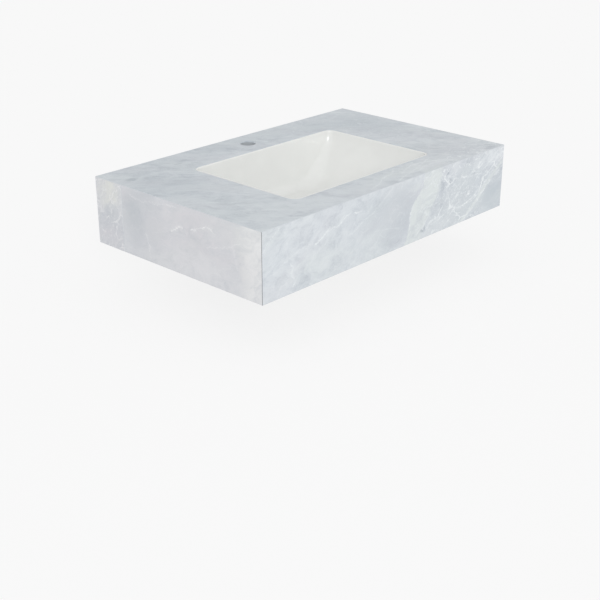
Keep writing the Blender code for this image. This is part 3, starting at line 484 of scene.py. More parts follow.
def joined(meshes):
    """One mesh from several."""
    solid = bmesh.new()
    for mesh in meshes:
        solid.from_mesh(mesh)
    mesh = bpy.data.meshes.new("made")
    solid.to_mesh(mesh)
    solid.free()
    return mesh


def finish_group(node, shape, material):
    """Makes the group's instances real, and gives them the material."""
    real = node("GeometryNodeRealizeInstances", shape)
    node("NodeGroupOutput", node("GeometryNodeSetMaterial", real, None, material))


def swept_group():
    """Geometry Nodes: a bead of adhesive or a wire along the edges of the host mesh."""
    sizes = dict.fromkeys(("Radius", "Waver", "Swell", "Step", "Seed"), "Float")
    inputs = {"Geometry": "Geometry", **sizes, "Sides": "Int", "Material": "Material"}
    tree, node, source = fresh_group(
        "swept bead", "GeometryNodeTree", inputs, {"Geometry": "Geometry"}
    )
    host, radius, waver, swelling, step, seed, sides, material = source
    path = node("GeometryNodeMeshToCurve", host)
    path = node("GeometryNodeResampleCurve", path, None, step, mode="LENGTH")
    place = node("GeometryNodeInputPosition")
    # Most of a noise lies within a quarter of its middle, so four times that is the whole waver.
    stray = node("TexNoise", place, seed, 90.0, 2.0, noise_dimensions="4D", out="Color")
    stray = node("VectorMath SUBTRACT", stray, (0.5, 0.5, 0.5))
    stray = node("VectorMath SCALE", stray, node("Math MULTIPLY", waver, 4.0))
    path = node("GeometryNodeSetPosition", path, None, None, stray)
    swell = node("TexNoise", place, seed, 160.0, 2.0, noise_dimensions="4D")
    swell = node("MapRange", swell, 0.25, 0.75, -0.55, 0.45)
    swell = node("Math MULTIPLY_ADD", swell, swelling, 1.0)
    outline = node("GeometryNodeCurvePrimitiveCircle", sides, radius)
    swept = node("GeometryNodeCurveToMesh", path, outline, swell, True)
    finish_group(node, node("GeometryNodeSetShadeSmooth", swept), material)
    return tree


def places_group():
    """Geometry Nodes: sets a pattern object at each point of the host mesh, turned by its turn."""
    inputs = {"Geometry": "Geometry", "Pattern": "Object", "Material": "Material"}
    tree, node, (host, pattern, material) = fresh_group(
        "set at places", "GeometryNodeTree", inputs, {"Geometry": "Geometry"}
    )
    shape = node("GeometryNodeObjectInfo", pattern, out="Geometry")
    turn = node("GeometryNodeInputNamedAttribute", "turn", data_type="FLOAT")
    values = {"Points": host, "Instance": shape, "Rotation": node("CombineXYZ", 0.0, 0.0, turn)}
    finish_group(node, node("GeometryNodeInstanceOnPoints", named=values), material)
    return tree


def thread_group():
    """Geometry Nodes: a helical thread ridge upward from each point of the host mesh."""
    sizes = dict.fromkeys(("Radius", "Pitch", "Height", "Ridge"), "Float")
    inputs = {"Geometry": "Geometry", **sizes, "Steps": "Int", "Material": "Material"}
    tree, node, source = fresh_group(
        "screw thread", "GeometryNodeTree", inputs, {"Geometry": "Geometry"}
    )
    host, radius, pitch, height, ridge, steps, material = source
    turns = node("Math DIVIDE", height, pitch)
    helix = node("GeometryNodeCurveSpiral", steps, turns, radius, radius, height)
    outline = node("GeometryNodeCurvePrimitiveCircle", 4, ridge)
    swept = node("GeometryNodeCurveToMesh", helix, outline, None, True)
    swept = node("GeometryNodeSetShadeSmooth", swept)
    finish_group(node, node("GeometryNodeInstanceOnPoints", host, None, swept), material)
    return tree


def grown(tree, mesh, **values):
    """Runs a Geometry Nodes group on a mesh with named inputs, and returns the plain mesh."""
    made = helper("host", mesh)
    modifier = made.modifiers.new("group", "NODES")
    modifier.node_group = tree
    for item in tree.interface.items_tree:
        if item.in_out == "INPUT" and item.name in values:
            modifier[item.identifier] = values[item.name]
    return applied(made)


def paths_mesh(paths):
    """Edges through each list of points."""
    points, edges = [], []
    for path in paths:
        start = len(points)
        points += path
        edges += [(index, index + 1) for index in range(start, len(points) - 1)]
    mesh = bpy.data.meshes.new("paths")
    mesh.from_pydata(points, edges, [])
    return mesh


def points_mesh(points, turns=()):
    """Loose points, each with a turn about Z."""
    mesh = bpy.data.meshes.new("places")
    mesh.from_pydata(points, [], [])
    turn = mesh.attributes.new("turn", "FLOAT", "POINT")
    for item, value in zip(turn.data, turns):
        item.value = value
    return mesh


# Stone

# Veins of the slab, laid out flat in millimetres: u runs to the right from the front's left end,
# and v runs down from the front edge, so the top is at negative v. Each has the axis that it runs
# along, its half width, its strength, and its points.
VEINS = (
    ("u", 3.0, 0.45, ((40, 92), (60, 80), (84, 71), (108, 64), (132, 60), (156, 62))),
    ("u", 4.6, 1.00, ((146, 66), (160, 62), (171, 57), (179, 50), (192, 44))),
    ("u", 3.2, 0.90, ((182, 50), (205, 46), (219, 45), (231, 37), (242, 30), (256, 27),
        (270, 31), (290, 33))),
    ("u", 2.6, 0.50, ((255, 76), (284, 61), (303, 53), (322, 47), (337, 41), (352, 31),
        (367, 21), (392, 3))),
    ("u", 2.6, 0.35, ((330, 88), (358, 93), (386, 96), (416, 104))),
    ("v", 6.0, 0.60, ((84, 76), (96, 84), (110, 81), (124, 90), (140, 85))),
    ("u", 6.0, 0.50, ((2, 42), (18, 27), (34, 14), (52, 2))),
    ("v", 3.6, 0.90, ((60, 461), (74, 453), (90, 451), (106, 450), (120, 447))),
    ("u", 2.6, 0.70, ((502, 131), (530, 125), (560, 118), (578, 110), (596, 98))),
    ("u", 3.0, 0.90, ((592, 101), (606, 87), (622, 74), (636, 62), (654, 48))),
    ("u", 4.4, 0.95, ((590, 94), (612, 108), (640, 111), (664, 107), (690, 95), (714, 83))),
    ("v", 3.0, 0.70, ((58, 578), (70, 586), (84, 592), (98, 596), (112, 594))),
    ("u", 3.0, 0.75, ((628, 36), (650, 44), (672, 48), (700, 48), (722, 53), (750, 50))),
    ("u", 2.8, 0.60, ((676, 72), (698, 79), (718, 86))),
    ("u", 2.8, 0.55, ((556, 16), (580, 32), (600, 46), (624, 62))),
    ("u", 3.6, 0.90, ((636, 151), (668, 135), (692, 119), (712, 103), (734, 86), (760, 68),
        (803, 46))),
    ("u", 3.4, 0.70, ((664, 113), (690, 103), (710, 91), (724, 80), (742, 64), (770, 40),
        (803, 26))),
    ("u", 4.0, 0.45, ((640, 66), (672, 40), (704, 24), (740, 14), (803, 6))),
    ("u", 3.4, 0.45, ((690, 70), (716, 44), (748, 26), (780, 18), (803, 16))),
    ("u", 3.0, 0.45, ((596, 12), (622, 6), (650, -8), (684, -14), (722, -28), (760, -34),
        (800, -48))),
    ("v", 2.6, 0.45, ((-46, 702), (-24, 694), (0, 690), (22, 682), (44, 676))),
    ("v", 2.6, 0.40, ((-60, 640), (-34, 634), (-8, 622), (14, 616), (40, 604))),
    ("u", 4.0, 0.50, ((14, -226), (34, -208), (52, -190), (74, -166), (96, -148))),
    ("u", 5.0, 0.40, ((40, -130), (70, -104), (100, -76), (130, -48), (160, -26))),
    ("u", 3.6, 0.40, ((12, -262), (30, -232), (46, -204), (62, -170), (76, -142), (92, -124))),
    ("u", 4.0, 0.26, ((80, -128), (112, -102), (146, -72), (184, -34), (212, -4))),
    ("u", 3.5, 0.34, ((130, -150), (170, -128), (206, -104), (262, -84), (310, -60))),
    ("u", 5.0, 0.95, ((452, -30), (486, -46), (520, -56), (556, -54), (590, -40), (622, -18))),
    ("u", 4.4, 0.90, ((500, -20), (530, -30), (566, -34), (600, -26), (640, -6))),
    ("u", 5.0, 0.90, ((330, -12), (372, -24), (410, -44), (446, -50), (486, -74))),
    ("u", 4.4, 0.85, ((410, -4), (450, -20), (492, -28), (548, -48), (600, -66))),
    ("v", 3.4, 0.34, ((-262, 690), (-240, 696), (-212, 704), (-180, 712), (-152, 719))),
    ("u", 4.6, 0.36, ((596, -54), (622, -82), (650, -106), (684, -130))),
    ("u", 3.6, 0.42, ((628, -440), (668, -446), (708, -452), (756, -466), (800, -474))),
    ("u", 3.0, 0.30, ((300, -470), (360, -446), (402, -430), (452, -418))),
)
# The same for the left apron, with u from its rear end.
SIDE_VEINS = (
    ("u", 4.6, 0.95, ((152, 62), (160, 60), (168, 57), (174, 50), (182, 47), (192, 46))),
    ("u", 3.8, 0.85, ((212, 48), (232, 40), (246, 35), (262, 28), (272, 30), (286, 39))),
    ("u", 3.6, 0.45, ((258, 70), (290, 64), (318, 56), (342, 44), (360, 38))),
    ("v", 7.0, 0.34, ((88, 74), (104, 80), (116, 84), (128, 81), (142, 88))),
    ("v", 8.0, 0.26, ((46, 334), (62, 338), (78, 341), (98, 347))),
    ("u", 6.0, 0.35, ((20, 12), (60, 22), (110, 16), (150, 8), (180, 10))),
)
# Middle of the pale stripe that crosses the front's right end.
STRIPE = ((626, 153), (664, 134), (694, 112), (722, 90), (750, 68), (778, 49), (803, 34))
# Edges of the broad band, as (v, u) points down the front.
BAND_LEFT = (
    (0, 499), (26, 495), (40, 484), (50, 474), (62, 460), (76, 452), (100, 450), (126, 445),
    (150, 434),
)
BAND_RIGHT = (
    (0, 561), (26, 559), (50, 552), (62, 545), (76, 535), (88, 525), (100, 515), (114, 504),
    (126, 493), (150, 489),
)
# Where the sides and their rear strips lie on the same drawing.
SIDE_START, REAR_START = -1000, 1100
RIGHT_START, REAR_RIGHT_START = 800, 1400
# Patches: middle u and v, half sizes, strength and colour.
PATCHES = (
    (110, 60, 190, 110, 0.55, "pale"),
    (390, 70, 130, 90, 0.28, "cool"),
    (170, 112, 120, 44, 0.35, "band"),
    (20, 14, 50, 26, 0.45, "band"),
    (466, 23, 26, 12, 0.45, "band"),
    (545, -16, 46, 20, 0.50, "band"),
    (690, 90, 120, 90, 0.30, "cool"),
    (790, 122, 70, 52, 0.50, "cool"),
    (495, 131, 8, 4, 0.60, "fleck"),
    (504, 126, 4, 7, 0.55, "fleck"),
    (600, 92, 90, 76, 0.30, "dark"),
    (430, 70, 90, 76, 0.22, "dark"),
    (742, 22, 74, 24, 0.50, "vein"),
    (590, 41, 9, 6, 0.55, "fleck"),
    (580, 20, 8, 5, 0.45, "fleck"),
    (562, 56, 9, 50, 0.12, "fleck"),
    (38, -424, 17, 12, 0.42, "fleck"),
    (66, -408, 8, 6, 0.28, "fleck"),
    (60, -330, 90, 130, 0.25, "cool"),
    (690, -420, 170, 80, 0.40, "cool"),
    (720, -320, 90, 90, 0.35, "cool"),
    (400, -470, 260, 50, 0.25, "cool"),
    (146, -60, 34, 18, 0.45, "band"),
    (250, -42, 130, 26, 0.30, "band"),
    (430, -34, 120, 18, 0.40, "band"),
    (700, -90, 120, 60, 0.40, "warm"),
    (90, -150, 120, 150, 0.45, "pale"),
    (400, -34, 130, 26, 0.45, "pale"),
    (530, -40, 90, 26, 0.55, "vein"),
    (500, -52, 150, 24, 0.45, "chalk"),
    (320, -40, 460, 70, 0.80, "pale"),
    (620, -30, 140, 60, 0.35, "warm"),
    (SIDE_START + 40, 50, 36, 62, 0.55, "cool"),
    (SIDE_START + 185, 20, 90, 40, 0.35, "warm"),
    (SIDE_START + 388, 75, 52, 130, 0.95, "band"),
    (SIDE_START + 396, 70, 40, 150, 0.62, "vein"),
    (SIDE_START + 240, 90, 220, 90, 0.35, "warm"),
    (SIDE_START + 60, 80, 90, 90, 0.30, "dark"),
    (SIDE_START + 230, 125, 190, 40, 0.45, "pale"),
    (REAR_START + 44, 26, 44, 36, 0.85, "chalk"),
    (REAR_START + 44, 112, 64, 56, 0.60, "dark"),
    (REAR_START + 46, 66, 26, 20, 0.30, "cool"),
    (REAR_START + 40, 128, 60, 26, 0.35, "warm"),
)
# A patch larger than this across is a soft cloud, and a smaller one is a ragged spot.
LARGE_PATCH = 25
# What the veins' half widths are multiplied by, and how a vein swells and thins along its length.
VEIN_SPREAD = 1.3
SWELL = ((0, 0), (0.1, 0.75), (0.3, 0.4), (0.5, 1), (0.7, 0.5), (0.88, 0.8), (1, 0))


def past_line(node, along, across, points):
    """How far across is past the line through the points, and the share of the line travelled."""
    low = min(y for _, y in points) - 1
    high = max(y for _, y in points) + 1
    first, last = points[0][0], points[-1][0]
    line = [((x - first) / (last - first), (y - low) / (high - low)) for x, y in points]
    travel = node("MapRange", along, first, last)
    line = node("FloatCurve", 1.0, travel, line=line)
    line = node("Math MULTIPLY_ADD", line, high - low, low)
    return node("Math SUBTRACT", across, line), travel


def line_mask(node, along, across, half_width, strength, points):
    """A vein: strongest on its line, with a thin haze beside it."""
    past, travel = past_line(node, along, across, points)
    away = node("Math ABSOLUTE", past)
    width = node("FloatCurve", 1.0, travel, line=SWELL)
    reach = node("Math MULTIPLY_ADD", width, half_width, 0.01)
    core = node("MapRange SMOOTHSTEP", away, 0.0, reach, strength, 0.0)
    reach = node("Math MULTIPLY", reach, 3.0)
    return node("Math MAXIMUM", core, node("MapRange", away, 0.0, reach, strength * 0.3, 0.0))


def oval(node, place, middle, half_sizes):
    """How far a place is from the middle of an oval. At the oval's edge it is 1."""
    offset = node("VectorMath SUBTRACT", place, (*middle, 0))
    shares = tuple(1 / half for half in half_sizes)
    return node("VectorMath LENGTH", node("VectorMath MULTIPLY", offset, (*shares, 0)))


def stretch(along, across):
    """The scale at which a pattern of size 1 is along by across millimetres."""
    return 1 / along, 1 / across, 1 / across


def combined(node, kind, *masks):
    """One mask from several, by a node that takes two at a time."""
    return reduce(partial(node, kind), masks)


def strayed(node, place, *noise):
    """A noise that strays to all sides of zero."""
    return node("VectorMath SUBTRACT", node("TexNoise", place, *noise, out="Color"), (0.5,) * 3)


def slab_group(look):
    """The drawing of the slab. Its place is in millimetres on the slab laid out flat."""
    amounts = dict.fromkeys(("Lie", "Streaks", "Figure", "Crackle", "Contrast"), "Float")
    inputs = {"Place": "Vector", **amounts}
    tree, node, source = fresh_group("slab drawing", "ShaderNodeTree", inputs, {"Colour": "Color"})
    place, lie, streaked, figure, crackle, contrast = source

    # Slow swirls bend the clouds by up to 23 mm, and a finer 6 mm tremble makes the veins ragged.
    swirl = strayed(node, place, 1 / 70, 2.0, 0.5)
    bent = node("VectorMath MULTIPLY_ADD", swirl, (46,) * 3, place)
    tremble = strayed(node, place, 1 / 11, 5.0, 0.65)
    ragged = node("VectorMath MULTIPLY_ADD", tremble, (13,) * 3, place)
    turned, cells = (
        node("VectorRotate", spot, (0, 0, 0), lie, rotation_type="Z_AXIS")
        for spot in (bent, ragged)
    )

    # Clouds, chalky blotches and short streaks, all lying the way of the bedding.
    cloud, mottle, streak = look.cloud * MM, look.mottle * MM, look.streak * MM
    laid = node("VectorMath MULTIPLY", turned, stretch(cloud * 1.3, cloud * 0.6))
    clouds = node("TexNoise", laid, 1.0, 5.0, 0.55, 2.0, 0.5)
    hue = node("TexNoise", laid, 0.8, 3.0, 0.5, out="Color")
    laid = node("VectorMath MULTIPLY", turned, stretch(mottle * 1.4, mottle * 0.85))
    blotches = node("TexNoise", laid, 1.0, 7.0, 0.66, 2.1, 0.45)
    laid = node("VectorMath MULTIPLY", turned, stretch(streak * 5, streak))
    streaks = node("TexNoise", laid, 1.0, 4.0, 0.65, 2.0, 0.3)
    speckle = node("TexNoise", place, 1 / 3.6, 3.0, 0.6)
    blotched = node("Math SUBTRACT", 0.54, streaked)
    amount = node("Math MULTIPLY", clouds, 0.32)
    for pattern, weight in ((speckle, 0.14), (blotches, blotched), (streaks, streaked)):
        amount = node("Math MULTIPLY_ADD", pattern, weight, amount)
    amount = node("Math MULTIPLY_ADD", node("Math SUBTRACT", amount, 0.5), contrast, 0.5)
    stops = ((0.36, look.dark), (0.50, look.middle), (0.64, look.pale))
    colour = node("ValToRGB", amount, stops=stops)
    for channel, tint in (("Green", look.band), ("Blue", look.warm)):
        share_of_tint = node("SeparateColor", hue, out=channel)
        share_of_tint = node("MapRange", share_of_tint, 0.46, 0.66, 0.0, 0.30)
        colour = node("Mix RGBA", share_of_tint, colour, tint)

    worn = node("MapRange", blotches, 0.36, 0.62, 0.25, 1.0)
    for middle_u, middle_v, half_u, half_v, strength, tint in PATCHES:
        large = half_u > LARGE_PATCH
        away = oval(node, bent if large else ragged, (middle_u, middle_v), (half_u, half_v))
        patch = node("MapRange SMOOTHSTEP", away, 0.3, 1.2, strength, 0.0)
        if large:
            patch = node("Math MULTIPLY", patch, worn)
        if middle_u < REAR_START:
            patch = node("Math MULTIPLY", patch, figure)
        colour = node("Mix RGBA", patch, colour, getattr(look, tint))

    # The broad band: a crisp left edge, a soft right one, and chalky blotches inside.
    u, v = (node("SeparateXYZ", ragged, out=side) for side in "XY")
    left, right = (past_line(node, v, u, edge)[0] for edge in (BAND_LEFT, BAND_RIGHT))
    left = node("MapRange SMOOTHSTEP", left, -2.0, 2.0)
    right = node("MapRange SMOOTHSTEP", right, -9.0, 9.0, 1.0, 0.0)
    lower = node("MapRange SMOOTHSTEP", v, -26.0, 6.0)
    chalk = node("MapRange", blotches, 0.34, 0.6, 0.45, 0.95)
    band = combined(node, "Math MULTIPLY", left, right, lower, figure, chalk)
    stripe = node("Math MULTIPLY", line_mask(node, u, v, 13.0, 0.75, STRIPE), figure)
    for mask in (band, stripe):
        colour = node("Mix RGBA", mask, colour, look.band)

    # Crackle: broken white lines between ragged cells, thick in the right of the front and faint
    # elsewhere, with one bare patch under the stripe.
    cell = look.crackle * MM
    cells = node("VectorMath MULTIPLY", cells, stretch(cell * 1.6, cell * 0.8))
    cells = node("VectorMath MULTIPLY_ADD", swirl, (1.6,) * 3, cells)
    nets = []
    for scale, width, strength in ((1.0, 0.07, 1.0), (2.3, 0.085, 0.7), (4.6, 0.10, 0.4)):
        rim = node("TexVoronoi", cells, scale, feature="DISTANCE_TO_EDGE")
        rim = node("MapRange SMOOTHSTEP", rim, 0.0, width, strength, 0.0)
        broken = node("TexNoise", cells, scale * 1.3, 3.0, 0.6)
        broken = node("MapRange SMOOTHSTEP", broken, 0.47, 0.60)
        nets.append(node("Math MULTIPLY", rim, broken))
    right = node("MapRange SMOOTHSTEP", u, 420.0, 610.0, 0.20, 0.95)
    far = node("MapRange", u, 900.0, 1000.0, 1.0, 0.6)
    upper = node("MapRange SMOOTHSTEP", v, -120.0, -30.0, 0.35, 1.0)
    bare = node("MapRange", oval(node, ragged, (790, 128), (80, 62)), 0.75, 1.05, 0.1, 1.0)
    net = combined(node, "Math MAXIMUM", *nets)
    net = combined(node, "Math MULTIPLY", net, right, far, upper, crackle, bare)

    # Veins come and go along their length, and are chalky grains rather than a solid line.
    masks = []
    for start, veins in ((0, VEINS), (SIDE_START, SIDE_VEINS)):
        here = node("Math SUBTRACT", u, start)
        for axis, half_width, strength, points in veins:
            along, across = (here, v) if axis == "u" else (v, here)
            half_width *= VEIN_SPREAD
            masks.append(line_mask(node, along, across, half_width, strength, points))
    fade = node("TexNoise", place, 1 / 14, 3.0, 0.6)
    fade = node("MapRange", fade, 0.36, 0.54, 0.40, 1.0)
    grains = node("TexNoise", place, 1 / 3.2, 3.0, 0.65)
    grains = node("MapRange", grains, 0.40, 0.60, 0.30, 1.1)
    veins = combined(node, "Math MAXIMUM", *masks)
    veins = combined(node, "Math MULTIPLY", veins, fade, grains, figure)
    white = node("Math MAXIMUM", veins, net)
    node("NodeGroupOutput", node("Mix RGBA", white, colour, look.vein))
    return tree


def polished_stone(piece_name, look, drawing, origin, along, down, values, tint):
    """Sintered stone, ground and satin polished on its face, and left sawn on its back: soft
    grey clouds with white veins, a low even sheen, and a dull rough back."""
    name = "polished sintered stone, " + piece_name.replace("_", " ")
    material, node = fresh(bpy.data.materials, name)
    along, down = Vector(along), Vector(down)
    inward = along.cross(down)
    place = node("VectorMath SUBTRACT", node("TexCoord", out="Object"), origin)
    ways = [node("VectorMath DOT_PRODUCT", place, way * MM) for way in (along, down, inward)]
    laid = node("CombineXYZ", *ways)
    grain = node("TexNoise", laid, 1 / (look.grain * MM), 3.0, 0.6)
    speck = node("MapRange", grain, 0.3, 0.7, 0.965, 1.03)
    face = node("Group", laid, *values, node_tree=drawing)
    # The face tint multiplies in this piece's painted light and shade.
    face = node("Mix RGBA", 1.0, face, tint, blend_type="MULTIPLY")
    face = node("VectorMath SCALE", face, speck)
    # The sawn back starts 0.3 mm before the slab's far side.
    thickness = (TOP - UNDERSIDE) * MM
    back = node("MapRange", ways[2], thickness - 0.4, thickness - 0.2)
    if piece_name == "top_slab":
        # The walls of its cut-out and tap hole get the darker sawn colour too: unpolished stone,
        # and painted shade in the hole.
        facing = node("NewGeometry", out="True Normal")
        facing = node("Math ABSOLUTE", node("VectorMath DOT_PRODUCT", facing, inward))
        back = node("Math MAXIMUM", back, node("Math LESS_THAN", facing, 0.5))
    # Sawn stone colour, which on the top's cut walls is also painted shade.
    sawn_and_shaded = node("Mix RGBA", grain, look.sawn, look.dark)
    colour = node("Mix RGBA", back, face, sawn_and_shaded)
    sheen = node("MapRange", grain, 0.3, 0.7, look.polish - 0.04, look.polish + 0.05)
    roughness = node("Math MULTIPLY_ADD", back, 0.45, sheen)
    lift = node("MapRange", back, 0.0, 1.0, 0.04, 0.5)
    shade(node, colour, roughness, node("Bump", lift, 0.0002, named={"Height": grain}))
    return material


def sawn_stone(look, drawing):
    """The same stone as sawn strips: no polish, a chalky face with the fine arcs of the blade. The
    arcs are drawn 3.5 mm apart, coarser than the blade leaves them, so that they show."""
    material, node = fresh(bpy.data.materials, "sawn sintered stone")
    place = node("TexCoord", out="Object")
    laid = node("VectorMath MULTIPLY", place, (MM,) * 3)
    face = node("Group", laid, 0.5, 0.10, 0.0, 0.6, 1.2, node_tree=drawing)
    marks = node("TexWave", place, 90.0, 2.0, 2.0, bands_direction="DIAGONAL")
    grain = node("TexNoise", place, 1 / look.grain, 3.0, 0.6)
    dust = node("MapRange", marks, 0.0, 1.0, 0.45, 0.62)
    height = node("Math MULTIPLY_ADD", marks, 0.8, grain)
    normal = node("Bump", 0.5, 0.0003, named={"Height": height})
    shade(node, node("Mix RGBA", dust, face, look.sawn), 0.82, normal)
    return material


class SINKTOP_OT_stone(bpy.types.Operator):
    """Gives the slab, the aprons and the glued strips their stone"""

    bl_idname = "sinktop.stone"
    bl_label = "Stone"

    def execute(self, context):
        look = context.scene.sink_stone
        drawing = slab_group(look)
        seam = LEFT_HIGH.y
        left, rear_left = seam + SIDE_START / MM, REAR + REAR_START / MM
        right, rear_right = FRONT - RIGHT_START / MM, seam - REAR_RIGHT_START / MM
        east, south, north, down = (1, 0, 0), (0, -1, 0), (0, 1, 0), (0, 0, -1)
        # Each piece: its origin on the slab, the ways to the right and down, and the lie of its
        # streaks, how streaked it is, how strongly the named veins show, how much it crackles and
        # its contrast.
        cuts = {
            "top_slab": ((LEFT, FRONT, TOP), east, south, (-0.80, 0.12, 1.0, 1.0, 1.5)),
            "front_apron": ((LEFT, FRONT, TOP), east, down, (0.38, 0.06, 1.0, 1.0, 1.1)),
            "left_apron": ((LEFT, left, TOP), south, down, (0.3, 0.04, 1.0, 0.5, 0.65)),
            "left_apron_rear": ((LEFT, rear_left, TOP), south, down, (0.9, 0.08, 1.0, 1.0, 1.1)),
            "right_apron": ((RIGHT, right, TOP), north, down, (0.35, 0.06, 1.0, 0.7, 0.9)),
            "right_apron_rear": ((RIGHT, rear_right, TOP), north, down, (0.9, 0.08, 1.0, 0.8, 1.0)),
        }
        # Each face's tint is painted light and shade; the top's darker tint is painted shade.
        face_shading = {"top_slab": look.top_shading_tint, "front_apron": look.front_shading_tint}
        for name, cut_out in cuts.items():
            tint = face_shading.get(name, look.side_shading_tint)
            dress(polished_stone(name, look, drawing, *cut_out, tint), name)
        strips = ["rear_rail", "front_batten"]
        for side_name in ("left", "right"):
            for kind in ("batten", "corner_batten", "seam_backing"):
                strips.append(f"{side_name}_{kind}")
        dress(sawn_stone(look, drawing), *strips)
        return {"FINISHED"}


# Joints


def stone_adhesive(name, colour, roughness):
    """Two-part stone adhesive, struck off flush or left as it squeezed out: a slightly glossy
    resin with fine filler in it."""
    return surface(name, colour, (900.0, 3.0, 0.6), (0.92, 1.06), roughness, (0.2, 0.0002))


def mitre_fill(look, corner, outward, start, end, width):
    """The adhesive in a mitre, from start to end beside the corner, a hair proud of the arris."""
    proud = 0.00003
    near, far = look.arris / math.sqrt(2) - proud, look.fill_depth
    corner, outward = Vector(corner) + Vector(start), Vector(outward).normalized()
    shift = Vector(end) - Vector(start)
    across = outward.cross(shift).normalized() * width / 2
    section = []
    for side, depth in ((-1, near), (1, near), (1, far), (-1, far)):
        section.append(corner + across * side - outward * depth)
    return prism(section, shift)


def straight(x, y, z):
    """A straight path. The coordinate that is given as a pair is the one that it runs along."""
    return list(zip(*(side if isinstance(side, tuple) else (side, side) for side in (x, y, z))))


def side_box(name):
    """A strip's box, and its x on the side of the middle and on the side of the apron."""
    low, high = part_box(name)
    return (low, high, high.x, low.x) if low.x < 0 else (low, high, low.x, high.x)


class SINKTOP_OT_joints(bpy.types.Operator):
    """Fills the mitres and seams and lays the beads of adhesive beside the glued strips"""

    bl_idname = "sinktop.joints"
    bl_label = "Joints"

    def execute(self, context):
        look = context.scene.sink_joints
        matched = stone_adhesive("stone adhesive, matched", look.adhesive, 0.4)
        dark = stone_adhesive("stone adhesive, open mitre", look.dark_line, 0.6)
        piece("upright_mitre_lines", joined(self.upright_mitres(look)), [dark], "top")
        bars = self.level_mitres(look) + self.seams(look)
        piece("mitre_filler", joined(bars), [matched], "top")
        beads = grown(
            swept_group(),
            paths_mesh(self.bead_paths()),
            Radius=look.bead,
            Waver=look.waver,
            Swell=1.0,
            Step=0.004,
            Sides=8,
            Seed=float(look.seed),
            Material=matched,
        )
        piece("adhesive_beads", beads, [matched], "top")
        return {"FINISHED"}

    def upright_mitres(self, look):
        """The upright mitres, open enough to show as a dark line."""
        ends = ((0, 0, look.arris), (0, 0, TOP - look.arris))
        bars = []
        for x, way in ((LEFT, -1), (RIGHT, 1)):
            bars.append(mitre_fill(look, (x, FRONT, 0), (way, -1, 0), *ends, look.line_width))
        return bars

    def level_mitres(self, look):
        """The level mitres, struck off flush."""
        ends = ((LEFT + look.arris, 0, 0), (RIGHT - look.arris, 0, 0))
        bars = [mitre_fill(look, (0, FRONT, TOP), (0, -1, 1), *ends, look.filler_width)]
        ends = ((0, look.arris, 0), (0, REAR - FRONT - look.arris, 0))
        for x, way in ((LEFT, -1), (RIGHT, 1)):
            bars.append(mitre_fill(look, (x, FRONT, TOP), (way, 0, 1), *ends, look.filler_width))
        return bars

    def seams(self, look):
        """The side seams: a shallow groove filled nearly flush."""
        seam = (LEFT_HIGH.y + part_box("left_apron_rear")[0].y) / 2
        lift, depth = 0.00025, 0.0012
        bars = []
        for edge, way in ((LEFT, 1), (RIGHT, -1)):
            low = Vector((edge + way * lift, seam - look.seam_width / 2, look.arris))
            inner = Vector((edge + way * depth, seam, look.arris))
            section = [low, low + Vector((0, look.seam_width, 0)), inner]
            bars.append(prism(section, (0, 0, TOP - 2 * look.arris)))
        return bars

    def bead_paths(self):
        """Where adhesive squeezes out between the strips and the slab or the aprons."""
        inset = 0.0002
        low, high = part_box("front_batten")
        run = (low.x, high.x)
        paths = [straight(run, high.y + inset, UNDERSIDE)]
        paths.append(straight(run, FRONT_HIGH.y, low.z))
        for side, way in (("left", 1), ("right", -1)):
            low, high, inner, outer = side_box(side + "_batten")
            run = (low.y, high.y)
            paths.append(straight(inner + way * inset, run, UNDERSIDE))
            paths.append(straight(outer, run, low.z))
        for side in ("left", "right"):
            low, high, inner, outer = side_box(side + "_corner_batten")
            run = (low.z, high.z)
            paths += [straight(inner, FRONT_HIGH.y, run), straight(outer, high.y, run)]
        for side in ("left", "right"):
            low, high, _, outer = side_box(side + "_seam_backing")
            paths += [straight(outer, y, (low.z, high.z)) for y in (low.y, high.y)]
            paths.append(straight(outer, (low.y, high.y), low.z))
        low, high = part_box("rear_rail")
        paths.append(straight((low.x, high.x), low.y, UNDERSIDE))
        return paths + [straight(x, low.y, (low.z, high.z)) for x in (low.x, high.x)]


# Basin


